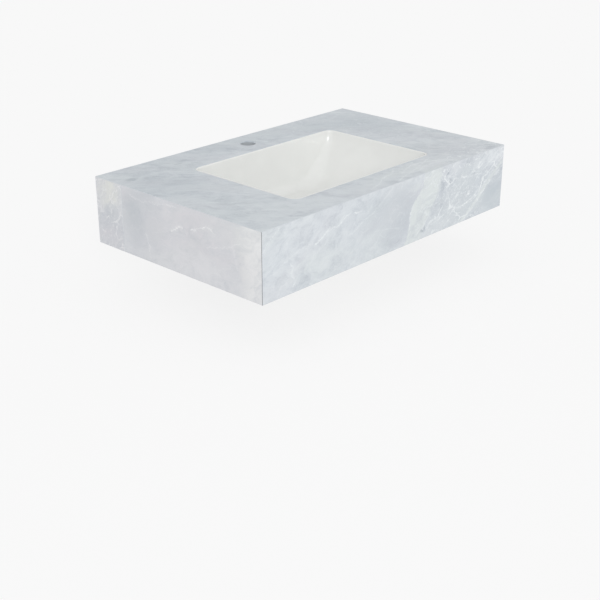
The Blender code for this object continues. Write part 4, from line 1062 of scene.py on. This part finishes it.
class Bowl:
    """The basin's shape: rings of points at each level, in order round the section."""

    corner_steps = 14
    side_step = 0.009
    wall_levels = 34
    floor_steps = 12
    duct_levels = 16
    arris = 0.001
    # How late in their depth the walls lean in, and how late the floor rises.
    end_power, side_power, floor_power = 1.6, 1.3, 1.6
    # Parts of the depth: from a point to the ones that give its slope, and the least between rings.
    nudge, least_step = 1e-4, 0.02

    def __init__(self, look):
        self.look = look
        self.centre = -look.setback
        self.lip_top = TOP - look.lip_drop
        self.lip = look.lip_joint + look.lip_width
        self.flange_top = UNDERSIDE - look.bed
        self.flange_bottom = self.flange_top - look.flange_thickness
        self.drain = self.lip_top - look.depth - look.fall
        self.seat_z = self.drain - look.seat_depth
        self.boss_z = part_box("basin")[0].z
        sizes = (look.opening_width, look.opening_depth)
        sides = [size - 2 * look.floor_corner for size in sizes]
        self.counts = [round(side / self.side_step) for side in sides] * 2

    def ring(self, half_x, half_y, corner, height):
        """A rectangle with round corners, and points spaced evenly along its straight sides."""
        arcs = []
        for turn, (side_x, side_y) in enumerate(((1, 1), (-1, 1), (-1, -1), (1, -1))):
            arc = []
            for step in range(self.corner_steps + 1):
                angle = (turn + step / self.corner_steps) * math.pi / 2
                x = side_x * (half_x - corner) + corner * math.cos(angle)
                y = side_y * (half_y - corner) + corner * math.sin(angle)
                arc.append(Vector((x, self.centre + y, height)))
            arcs.append(arc)
        points = []
        for arc, after, count in zip(arcs, arcs[1:] + arcs[:1], self.counts):
            points += arc + [arc[-1].lerp(after[0], step / count) for step in range(1, count)]
        return points

    def opening(self, outward, height):
        """The cut-out's outline, moved outward."""
        look = self.look
        halves = (look.opening_width / 2 + outward, look.opening_depth / 2 + outward)
        return self.ring(*halves, look.opening_corner + outward, height)

    def inset(self, part, lean, power):
        """How far a wall is inward at a part of its depth: its lean, and the fillet at its foot."""
        look = self.look
        turn = max(0, 1 - look.depth * (1 - part) / look.fillet)
        return lean * part**power + look.fillet * (1 - math.sqrt(1 - turn * turn))

    def wall(self, part, outward=0, down=0):
        """The bowl's wall at a part of its depth, from 0 at the lip to 1 at the floor."""
        look = self.look
        start = outward - self.lip
        corner = look.opening_corner + start
        return self.ring(
            look.opening_width / 2 + start - self.inset(part, look.end_lean, self.end_power),
            look.opening_depth / 2 + start - self.inset(part, look.side_lean, self.side_power),
            corner + (look.floor_corner - look.opening_corner) * part * part,
            self.lip_top - part * (look.depth + down),
        )

    def circles(self, sizes, foot):
        """Circles round the waste, with a point towards each point of the wall's foot."""
        turns = [math.atan2(point.y, point.x) for point in foot]
        ways = [(math.cos(turn), math.sin(turn)) for turn in turns]
        return [[Vector((x * size, y * size, z)) for x, y in ways] for size, z in sizes]

    def inside(self, parts, foot):
        """The waste hole, its seat, the floor and the walls, from below upward."""
        look, arris = self.look, self.arris
        seat = (
            (look.hole, self.boss_z),
            (look.hole, self.seat_z - arris / 2),
            (look.hole + arris / 2, self.seat_z),
            (look.seat, self.seat_z),
            (look.seat, self.drain - arris),
            (look.seat + arris * 0.3, self.drain - arris * 0.3),
            (look.seat + arris, self.drain),
        )
        rings = self.circles(seat, foot)
        rim = rings[-1]
        for step in range(1, self.floor_steps):
            travel = step / self.floor_steps
            height = self.drain + look.fall * travel**self.floor_power
            level = [near.lerp(far, travel) for near, far in zip(rim, foot)]
            rings.append([Vector((point.x, point.y, height)) for point in level])
        return rings + [self.wall(part) for part in reversed(parts)]

    def lip_and_flange(self):
        """The rounds of the lip, the joint beside the stone and the flange under it."""
        look, arris = self.look, self.arris
        section = []
        for angle in quarter(6):
            outward = look.lip_round * (1 - math.cos(angle)) - self.lip
            section.append((outward, self.lip_top - look.lip_round * (1 - math.sin(angle))))
        for angle in quarter(3):
            outward = -look.lip_joint - arris * (1 - math.sin(angle))
            section.append((outward, self.lip_top - arris * (1 - math.cos(angle))))
        section += [
            (-look.lip_joint, self.flange_top),
            (look.flange_width - arris, self.flange_top),
            (look.flange_width, self.flange_top - arris),
            (look.flange_width, self.flange_bottom + arris),
            (look.flange_width - arris, self.flange_bottom),
        ]
        return [self.opening(*point) for point in section]

    def outside(self, parts, foot):
        """The outer wall and the boss round the waste, from above downward."""
        look, arris = self.look, self.arris
        start = (self.lip_top - self.flange_bottom) / (look.depth + look.floor)
        levels = [start] + [part for part in parts if part > start + self.least_step]
        rings = [self.wall(part, look.wall, look.floor) for part in levels]
        under, cone = self.drain - look.floor, 0.004
        boss = (
            (look.boss + cone, under),
            (look.boss, under - cone),
            (look.boss, self.boss_z + arris),
            (look.boss - arris, self.boss_z),
        )
        return rings + self.circles(boss, foot)

    def mesh(self):
        """The basin without its overflow: glazed inside and on the lip, and bare elsewhere."""
        parts = [math.sin(angle) for angle in quarter(self.wall_levels)[1:]]
        foot = self.wall(1)
        inside, lip = self.inside(parts, foot), self.lip_and_flange()
        return skin(inside + lip + self.outside(parts, foot), len(inside) + len(lip) - 2)

    def front_point(self, part, offset):
        """A (y, z) point on the front wall's inside line, moved into the wall along its normal."""
        look = self.look
        after, before = min(1, part + self.nudge), max(0, part - self.nudge)
        here, lower, upper = (
            self.inset(place, look.side_lean, self.side_power) for place in (part, after, before)
        )
        run, drop = lower - upper, look.depth * (after - before)
        size = math.hypot(run, drop)
        y = self.centre - look.opening_depth / 2 + self.lip + here
        z = self.lip_top - part * look.depth
        return y - offset * drop / size, z - offset * run / size

    def duct(self, near, far, top, end_y, half_width):
        """The overflow duct or its passage: a band beside the front wall and under the floor."""
        start = (self.lip_top - top) / self.look.depth
        parts = [math.sin(angle) for angle in quarter(self.duct_levels)[1:-1]]
        parts = [part for part in parts if part > start + self.least_step]
        # The last one is a hair above the floor, where the wall still has a slope.
        parts = [start, *parts, 1 - 1e-5]
        sides = []
        for offset in (far, near):
            points = [self.front_point(part, offset) for part in parts]
            sides.append(points + [(end_y, self.drain - offset)])
        outline = [(-half_width, y, z) for y, z in sides[0] + sides[1][::-1]]
        return prism(outline, (2 * half_width, 0, 0))

    def overflow_place(self):
        """Places a turned piece in the overflow hole: its +Z points into the bowl."""
        part = self.look.overflow_depth / self.look.depth
        y, z = self.front_point(part, 0)
        deeper_y, deeper_z = self.front_point(part, self.look.passage_wall)
        inward = Vector((0, y - deeper_y, z - deeper_z)).normalized()
        turn = Vector((0, 0, 1)).rotation_difference(inward).to_matrix().to_4x4()
        return Matrix.Translation((0, y, z)) @ turn


def glazed_fireclay(look):
    """Fireclay under a thick white glaze, fired to a glassy skin: bright, very smooth, and very
    slightly wavy where the glaze ran."""
    roughness = (look.gloss - 0.015, look.gloss + 0.02)
    flow, smear = (22.0, 2.0, 0.5), (60.0, 3.0, 0.6)
    name = "glazed white fireclay"
    return surface(name, look.glaze, flow, (0.985, 1.01), roughness, (0.12, 0.001), smear)


def bare_fireclay(look):
    """Fireclay below the glaze line: a dull cream body with a sandy grain and a few iron specks."""
    material, node = fresh(bpy.data.materials, "unglazed fireclay")
    place = node("TexCoord", out="Object")
    sand = node("TexNoise", place, 700.0, 4.0, 0.6)
    cloud = node("Math MULTIPLY", node("TexNoise", place, 14.0, 3.0, 0.5), 0.5)
    shown = node("Math MULTIPLY_ADD", sand, 0.5, cloud)
    darker = [channel * 0.8 for channel in look.body]
    ground = node("ValToRGB", shown, stops=((0.3, darker), (0.6, look.body)))
    iron = node("MapRange", node("TexVoronoi", place, 420.0), 0.10, 0.16, 0.7, 0.0)
    colour = node("Mix RGBA", iron, ground, look.iron)
    shade(node, colour, 0.86, node("Bump", 0.5, 0.0003, named={"Height": sand}))
    return material


def sanitary_silicone(look):
    """Acetoxy silicone, tooled with a wet finger: milky, soft edged and half glossy."""
    # The silicone's light grey is partly painted shade of the recessed joint.
    milky = {"Subsurface Weight": 0.1, "Subsurface Scale": 0.002}
    name, tooling = "white sanitary silicone", (120.0, 2.0, 0.5)
    return surface(name, look.silicone, tooling, (0.97, 1.01), 0.38, (0.25, 0.0005), **milky)


class SINKTOP_OT_basin(bpy.types.Operator):
    """Makes the glazed basin with its overflow, and the silicone round its lip"""

    bl_idname = "sinktop.basin"
    bl_label = "Basin"

    def execute(self, context):
        look = context.scene.sink_basin
        bowl = Bowl(look)
        clay = [glazed_fireclay(look), bare_fireclay(look)]
        made = smooth(self.basin(look, bowl, clay), angle=math.radians(40))
        piece("basin_shell", made, clay, "top", ["basin"])
        made = smooth(self.bead(look, bowl))
        silicone = [sanitary_silicone(look)]
        piece("silicone_joint", made, silicone, "top", ["basin_sealant"])
        return {"FINISHED"}

    def basin(self, look, bowl, clay):
        """The bowl with its overflow: a duct joined on, and a passage and a hole cut out."""
        far = look.passage_wall + look.passage_depth
        duct_half = look.passage_width / 2 + look.duct_wall
        reach = (math.sqrt(look.boss**2 - duct_half**2) + look.hole) / 2
        duct_top = bowl.flange_bottom + look.flange_thickness / 2
        # How deep the duct is sunk in the wall, and where the hole's cutter starts and ends.
        sunk, past = 0.004, -0.0135
        duct = bowl.duct(sunk, far + look.duct_wall, duct_top, -reach, duct_half)
        passage_top = bowl.lip_top - look.overflow_depth + look.overflow + 0.001
        sizes = (-look.hole / 2, look.passage_width / 2)
        passage = bowl.duct(look.passage_wall, far, passage_top, *sizes)
        hole = lathe([(0, sunk), (look.overflow, sunk), (look.overflow, past), (0, past)], 64)
        hole.transform(bowl.overflow_place())
        mesh = bowl.mesh()
        for made in (mesh, duct, passage, hole):
            for material in clay:
                made.materials.append(material)
        for cutter in (duct, passage, hole):
            for face in cutter.polygons:
                face.material_index = 1
        return cut(mesh, (("UNION", duct), ("DIFFERENCE", passage), ("DIFFERENCE", hole)))

    def bead(self, look, bowl):
        """The silicone: a bead a millimetre below the stone's face, and the bed on the flange."""
        joint, flange, bed = look.lip_joint, look.flange_width, bowl.flange_top
        section = (
            (-joint, bed + 0.0002),
            (-joint, TOP - 0.0016),
            (-joint + 0.0001, TOP - 0.0013),
            (-joint * 0.75, TOP - 0.0010),
            (-joint * 0.5, TOP - 0.0009),
            (-joint * 0.25, TOP - 0.0009),
            (0.0, TOP - 0.0010),
            (0.0002, TOP - 0.0009),
            (0.0, TOP - 0.0013),
            (0.0, UNDERSIDE),
            (flange - 0.001, UNDERSIDE),
            (flange + 0.001, UNDERSIDE),
            (flange + 0.0002, bed - 0.0014),
            (flange - 0.001, bed + 0.0002),
        )
        rings = [bowl.opening(*point) for point in section]
        return skin(rings, len(rings))


# Waste, overflow trim and fixings


def chrome_plate(look):
    """Brass polished and chrome plated: a mirror with a faint cool tone and wiping marks."""
    wiped = (140.0, 3.0, 0.6)
    return surface("chrome plated brass", look.chrome, wiped, None, (0.05, 0.13), metallic=1.0)


def turned_brass(look):
    """Brass from the lathe: yellow metal with fine rings left by the tool."""
    material, node = fresh(bpy.data.materials, "turned brass")
    place = node("TexCoord", out="Object")
    ways = {"wave_type": "RINGS", "rings_direction": "Z"}
    rings = node("TexWave", place, 700.0, 0.4, 2.0, **ways)
    tarnish = node("TexNoise", place, 80.0, 3.0, 0.6)
    tint = node("MapRange", tarnish, 0.3, 0.7, 0.86, 1.04)
    roughness = node("MapRange", tarnish, 0.3, 0.7, 0.24, 0.4)
    normal = node("Bump", 0.25, 0.0001, named={"Height": rings})
    shade(node, node("VectorMath SCALE", tuple(look.brass), tint), roughness, normal, 1.0)
    return material


def zinc_plate(look):
    """Pressed and rolled steel with bright zinc plating: a bluish dull metal with a soft
    spangle."""
    material, node = fresh(bpy.data.materials, "zinc plated steel")
    place = node("TexCoord", out="Object")
    tint = node("MapRange", node("TexVoronoi", place, 520.0), 0.0, 0.8, 0.9, 1.05)
    cloud = node("TexNoise", place, 160.0, 3.0, 0.6)
    roughness = node("MapRange", cloud, 0.3, 0.7, 0.28, 0.44)
    shade(node, node("VectorMath SCALE", tuple(look.zinc), tint), roughness, metallic=1.0)
    return material


def spring_wire(look):
    """Cold drawn stainless wire: smooth bright steel with drawing lines along it."""
    drawn = (900.0, 2.0, 0.5)
    return surface("drawn spring wire", look.spring, drawn, None, (0.2, 0.34), metallic=1.0)


def black_rubber(look):
    """Moulded EPDM rubber: a dry black with a faint bloom."""
    material, node = fresh(bpy.data.materials, "moulded black rubber")
    bloom = node("TexNoise", node("TexCoord", out="Object"), 220.0, 4.0, 0.6)
    paler = [channel * 2.2 + 0.01 for channel in look.rubber]
    colour = node("ValToRGB", bloom, stops=((0.4, look.rubber), (0.8, paler)))
    shade(node, colour, 0.62, node("Bump", 0.3, 0.0001, named={"Height": bloom}))
    return material


def moulded_acetal(look):
    """Injection moulded acetal: a waxy white plastic with a fine eroded texture."""
    name, eroded = "moulded white acetal", (1500.0, 2.0, 0.5)
    return surface(name, look.acetal, eroded, (0.96, 1.02), 0.42, (0.2, 0.0001))


def waste_tube(look):
    """The flange and the tube with its windows, and inside it the bridge that holds the hub."""
    top, end, flange = WASTE_HIGH.z, WASTE_LOW.z, WASTE_HIGH.x
    under = top - look.flange
    bore = look.tube - look.tube_wall
    flange_round, chamfer = 0.0008, 0.001
    profile = [
        (bore + look.seat_width, top),
        (flange - flange_round, top),
        (flange, top - flange_round),
        (flange, under),
        (look.tube, under),
        (look.tube, end + chamfer),
        (look.tube - chamfer, end),
        (bore, end),
        (bore, top - look.seat_depth),
    ]
    inner, outer = look.hub_bore, look.hub
    head, foot = 0.002, -0.008
    steps = [("UNION", lathe([(inner, head), (outer, head), (outer, foot), (inner, foot)], 48))]
    half = look.arm / 2
    start, reach, inset = 0.0095, bore + look.tube_wall / 2, 0.001
    low, high = (start, -half, foot + inset), (reach, half, head - inset)
    for arm in range(3):
        steps.append(("UNION", bar(low, high, math.pi / 2 + 2 * math.pi * arm / 3)))
    window_top = under - look.window_drop
    half, through = look.window_width / 2, 0.025
    low, high = (-through, -half, window_top - look.window_height), (through, half, window_top)
    for pair in range(2):
        steps.append(("DIFFERENCE", bar(low, high, math.pi * pair / 2)))
    return rounded(cut(lathe(profile, look.steps), steps), width=0.00025)


def waste_thread(look, material):
    """The thread on the lower end of the waste's tube."""
    end, runout = WASTE_LOW.z, 0.002
    return grown(
        thread_group(),
        points_mesh([(0, 0, end + 0.0015)]),
        Radius=look.tube - 0.0001,
        Pitch=look.waste_pitch,
        Height=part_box("waste_back_nut")[0].z - end - runout,
        Ridge=0.0006,
        Steps=64,
        Material=material,
    )


def tail_tube(look):
    """The outlet tube, its shoulder under the waste, and its spigot with a groove for the ring."""
    low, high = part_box("tailpiece")
    tube, inner = look.tail, look.tail - look.tail_wall
    spigot = look.tube - look.tube_wall - look.play
    shoulder = WASTE_LOW.z - look.play
    foot, chamfer, end_chamfer = shoulder - 0.004, 0.0012, 0.0004
    groove = spigot - 0.002
    groove_foot = shoulder + 0.0047
    groove_head = groove_foot + look.ring_groove
    profile = [
        (inner, high.z),
        (spigot, high.z),
        (spigot, groove_head),
        (groove, groove_head),
        (groove, groove_foot),
        (spigot, groove_foot),
        (spigot, shoulder),
        (look.tube, shoulder),
        (look.tube, foot + chamfer),
        (look.tube - chamfer, foot),
        (tube, foot),
        (tube, low.z + end_chamfer),
        (tube - end_chamfer, low.z),
        (inner, low.z),
    ]
    return rounded(lathe(profile, look.steps), look.edge)


def overflow_trim(look, bowl):
    """The sleeve in the overflow hole, with a domed rim in the bowl."""
    outer = bowl.look.overflow - look.play
    rim = outer + look.rim
    inner, end = outer - 0.0015, -0.007
    # The rim's face: its edge, its shoulder, its crest and where it turns into the sleeve.
    edge, shoulder, crest, throat = 0.0010, 0.0021, 0.0028, 0.0016
    profile = [
        (inner + 0.0014, crest),
        (outer + 0.0004, crest),
        (rim - 0.0016, shoulder),
        (rim, edge),
        (rim, look.play),
        (outer, look.play),
        (outer, end),
        (inner, end),
        (inner, throat),
    ]
    made = rounded(lathe(profile, look.steps), look.edge)
    made.transform(bowl.overflow_place())
    return made


def coil_path(look):
    """The middle of the spring's wire: its first and last curls lie nearly flat."""
    low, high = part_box("cartridge_spring")
    wire, curls, parts = look.spring_wire, look.spring_curls, 48
    ring, foot, head = high.x - wire, low.z + wire, high.z - wire
    lead = 2 * wire + look.spring_gap
    pitch = (head - foot - 2 * lead) / (curls - 2)
    path = []
    for index in range(curls * parts + 1):
        turn = index / parts
        if turn < 1:
            height = foot + lead * turn
        elif turn > curls - 1:
            height = head - lead * (curls - turn)
        else:
            height = foot + lead + pitch * (turn - 1)
        angle = 2 * math.pi * turn
        path.append((ring * math.cos(angle), ring * math.sin(angle), height))
    return path


def coil(look, material):
    """The spring in its cartridge, swept along its path."""
    return grown(
        swept_group(),
        paths_mesh([coil_path(look)]),
        Radius=look.spring_wire,
        Waver=0.0,
        Swell=0.0,
        Step=0.0006,
        Sides=12,
        Seed=0.0,
        Material=material,
    )


def plug_dome(look):
    """The plug: a crowned cap over a skirt with the seal's groove, and a socket for the stem."""
    low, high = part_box("plug_cap")
    under = WASTE_HIGH.z + look.shut_gap + look.travel
    rim, radius = under + 0.0025, high.x
    groove, groove_foot = look.skirt - look.seal_groove, under - 0.0034
    socket, socket_depth = 0.0043, 0.004
    edge_round, skirt_chamfer = 0.0016, 0.0006
    profile = []
    for level in range(11):
        part = level / 10
        profile.append(((radius - edge_round) * part, rim + look.crown * (1 - part * part)))
    profile += [
        (radius - 0.0005, under + 0.0021),
        (radius, under + 0.0013),
        (radius, under),
        (groove, under),
        (groove, groove_foot),
        (look.skirt, groove_foot),
        (look.skirt - skirt_chamfer, low.z),
        (socket, low.z),
        (socket, low.z + socket_depth),
        (0.0, low.z + socket_depth),
    ]
    return rounded(lathe(profile, look.steps), look.edge)


class SINKTOP_OT_waste(bpy.types.Operator):
    """Makes the waste, the overflow trim and the tailpiece, and dresses their seals"""

    bl_idname = "sinktop.waste"
    bl_label = "Waste"

    def execute(self, context):
        look = context.scene.sink_fittings
        bowl = Bowl(context.scene.sink_basin)
        chrome, drawn = chrome_plate(look), spring_wire(look)
        piece("waste_tube", waste_tube(look), [chrome], "top", ["waste_body"])
        piece("waste_thread", waste_thread(look, chrome), [chrome], "top")
        piece("tail_tube", tail_tube(look), [chrome], "top", ["tailpiece"])
        trim = overflow_trim(look, bowl)
        piece("overflow_trim", trim, [chrome], "top", ["overflow_ring"])
        # The spring stands on the cartridge's base. Its span to the plug is passed on, but piece
        # only fixes it where it stands.
        low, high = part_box("cartridge_spring")
        span = ("top", "plug", (0, 0, low.z), (0, 0, high.z))
        spring = coil(look, drawn)
        piece("coil_spring", spring, [drawn], span, ["cartridge_spring"])
        piece("plug_dome", plug_dome(look), [chrome], "plug", ["plug_cap"])
        seals = ("waste_gasket", "waste_cone_washer", "tailpiece_ring", "plug_seal")
        dress(black_rubber(look), *seals)
        dress(moulded_acetal(look), "waste_slip_washer", "cartridge_body", "cartridge_base")
        dress(turned_brass(look), "waste_back_nut")
        dress(zinc_plate(look), "plug_stem")
        return {"FINISHED"}


class SINKTOP_OT_fixings(bpy.types.Operator):
    """Makes the threaded studs of the six basin clips, and gives the clips and their flanged nuts
    zinc plating
    """

    bl_idname = "sinktop.fixings"
    bl_label = "Fixings"

    def execute(self, context):
        look = context.scene.sink_fittings
        zinc = zinc_plate(look)
        places, turns = [], []
        for clip in FIXINGS:
            low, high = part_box(f"clip_stud_{clip}")
            places.append(((low.x + high.x) / 2, (low.y + high.y) / 2))
            low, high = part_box(f"basin_clip_{clip}")
            heel, spread = (low + high) / 2, high - low
            if spread.x > spread.y:
                turns.append(0.0 if heel.x > 0 else math.pi)
            else:
                turns.append(math.pi / 2 if heel.y > 0 else -math.pi / 2)
        low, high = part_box("clip_stud_1")
        pattern = helper("stud_pattern", smooth(lathe(self.stud(look, low, high), 32)))
        hosts = points_mesh([(x, y, 0) for x, y in places], turns)
        studs = smooth(grown(places_group(), hosts, Pattern=pattern, Material=zinc))
        bpy.data.objects.remove(pattern)
        names = [f"clip_stud_{clip}" for clip in FIXINGS]
        piece("stud_rods", studs, [zinc], "top", names)
        threads = grown(
            thread_group(),
            points_mesh([(x, y, low.z + 0.0007) for x, y in places]),
            Radius=look.stud_radius * 0.88,
            Pitch=look.stud_pitch,
            Height=high.z - low.z - 0.0045,
            Ridge=look.stud_radius * 0.12,
            Steps=20,
            Material=zinc,
        )
        piece("stud_threads", threads, [zinc], "top")
        for clip in FIXINGS:
            dress(zinc, f"basin_clip_{clip}", f"clip_nut_{clip}")
        return {"FINISHED"}

    def stud(self, look, low, high):
        """A stud's profile: the glued base, and the rod cut back to the thread's root."""
        radius, base = look.stud_radius, (high.x - low.x) / 2
        root, chamfer = radius * 0.86, 0.0008
        edge, face = high.z - 0.0015, high.z - 0.0025
        return [
            (0, high.z),
            (base, high.z),
            (base, edge),
            (base - chamfer, face),
            (radius + chamfer, face),
            (root, face - chamfer),
            (root, low.z + 0.0006),
            (radius * 0.7, low.z),
            (0, low.z),
        ]


# Stage


def lamp(name, kind, power, place, aim, **settings):
    """A lamp at a place, aimed at a point."""
    light = bpy.data.lights.new(name, kind)
    light.energy = power
    for key, value in settings.items():
        setattr(light, key, value)
    made = helper(name, light)
    made.location = place
    made.rotation_mode = "QUATERNION"
    made.rotation_quaternion = (Vector(aim) - Vector(place)).to_track_quat("-Z", "Y")
    made.visible_camera = False


def ground_rays(node):
    """One for the rays that see the plain ground: from the camera, mirrored or let through."""
    names = ("Is Camera Ray", "Is Glossy Ray", "Is Transmission Ray")
    return combined(node, "Math MAXIMUM", *[node("LightPath", out=name) for name in names])


def painted_floor(look):
    """Paint that shows the ground's even tone and only a share of the object's shadow. From below
    it is clear, so that the underside can be looked at."""
    material, node = fresh(bpy.data.materials, "painted pale floor")
    paint = node("BsdfDiffuse", look.ground)
    glow = node("Emission", look.glow, 1.0)
    glowing = node("Math MULTIPLY", ground_rays(node), 1 - look.shadow)
    mixed = node("MixShader", glowing, paint, glow)
    below = node("NewGeometry", out="Backfacing")
    below = node("Math MULTIPLY", below, node("LightPath", out="Is Camera Ray"))
    node("OutputMaterial", node("MixShader", below, mixed, node("BsdfTransparent")))
    return material


class SINKTOP_OT_stage(bpy.types.Operator):
    """Makes the floor, the lamps, the world and the camera"""

    bl_idname = "sinktop.stage"
    bl_label = "Stage"

    def execute(self, context):
        look, scene = context.scene.sink_stage, context.scene
        scene.view_settings.view_transform = "Standard"

        solid = bmesh.new()
        bmesh.ops.create_grid(solid, x_segments=1, y_segments=1, size=30)
        floor = helper("floor", mesh_from(solid))
        gap = 0.0005
        floor.location.z = CAD_BOX[0].z - gap
        floor.data.materials.append(painted_floor(look))

        scene.world, node = fresh(bpy.data.worlds, "even studio light")
        light = node("Background", (1, 1, 1), look.world)
        ground = node("Background", look.ground, 1.0)
        node("OutputWorld", node("MixShader", ground_rays(node), light, ground))

        middle = (0, 0, 0)
        front = (-1.482, -2.280, 1.269)
        lamp("key lamp", "SUN", look.key, front, middle, angle=look.key_width)
        # Tall and narrow, so that it leaves a long thin highlight in glaze and chrome.
        sizes = {"shape": "RECTANGLE", "size": 0.07, "size_y": 2.6}
        lamp("strip lamp", "AREA", look.strip, (-2.05, -2.2, 1.5), (0.15, 0.1, 0.1), **sizes)

        data = bpy.data.cameras.new("camera")
        data.sensor_width, data.lens = 36, look.lens
        data.clip_start, data.clip_end = 0.05, 100
        scene.camera = helper("camera", data)
        scene.camera.location = look.place
        scene.camera.rotation_euler = (math.pi / 2 - look.pitch, 0, -look.yaw)
        return {"FINISHED"}


STEPS = (
    SINKTOP_OT_stone,
    SINKTOP_OT_joints,
    SINKTOP_OT_basin,
    SINKTOP_OT_waste,
    SINKTOP_OT_fixings,
    SINKTOP_OT_stage,
)


class SINKTOP_PT_panel(bpy.types.Panel):
    """Lists the pieces of the sink top"""

    bl_label = "Sink top"
    bl_idname = "SINKTOP_PT_panel"
    bl_space_type = "VIEW_3D"
    bl_region_type = "UI"
    bl_category = "Sink top"

    def draw(self, context):
        for step in STEPS:
            self.layout.operator(step.bl_idname)
        for name in GROUPS:
            group = getattr(context.scene, name)
            box = self.layout.box()
            for item in group.bl_rna.properties:
                if item.identifier not in ("name", "rna_type"):
                    box.prop(group, item.identifier)


def register():
    for kind in (*GROUPS.values(), *STEPS, SINKTOP_PT_panel):
        bpy.utils.register_class(kind)
    for name, group in GROUPS.items():
        setattr(bpy.types.Scene, name, PointerProperty(type=group))


def unregister():
    for name in GROUPS:
        delattr(bpy.types.Scene, name)
    for kind in (SINKTOP_PT_panel, *reversed(STEPS), *GROUPS.values()):
        bpy.utils.unregister_class(kind)


def main():
    register()
    bpy.ops.sinktop.stone()
    bpy.ops.sinktop.joints()
    bpy.ops.sinktop.basin()
    bpy.ops.sinktop.waste()
    bpy.ops.sinktop.fixings()
    bpy.ops.sinktop.stage()


if __name__ == "__main__":
    main()
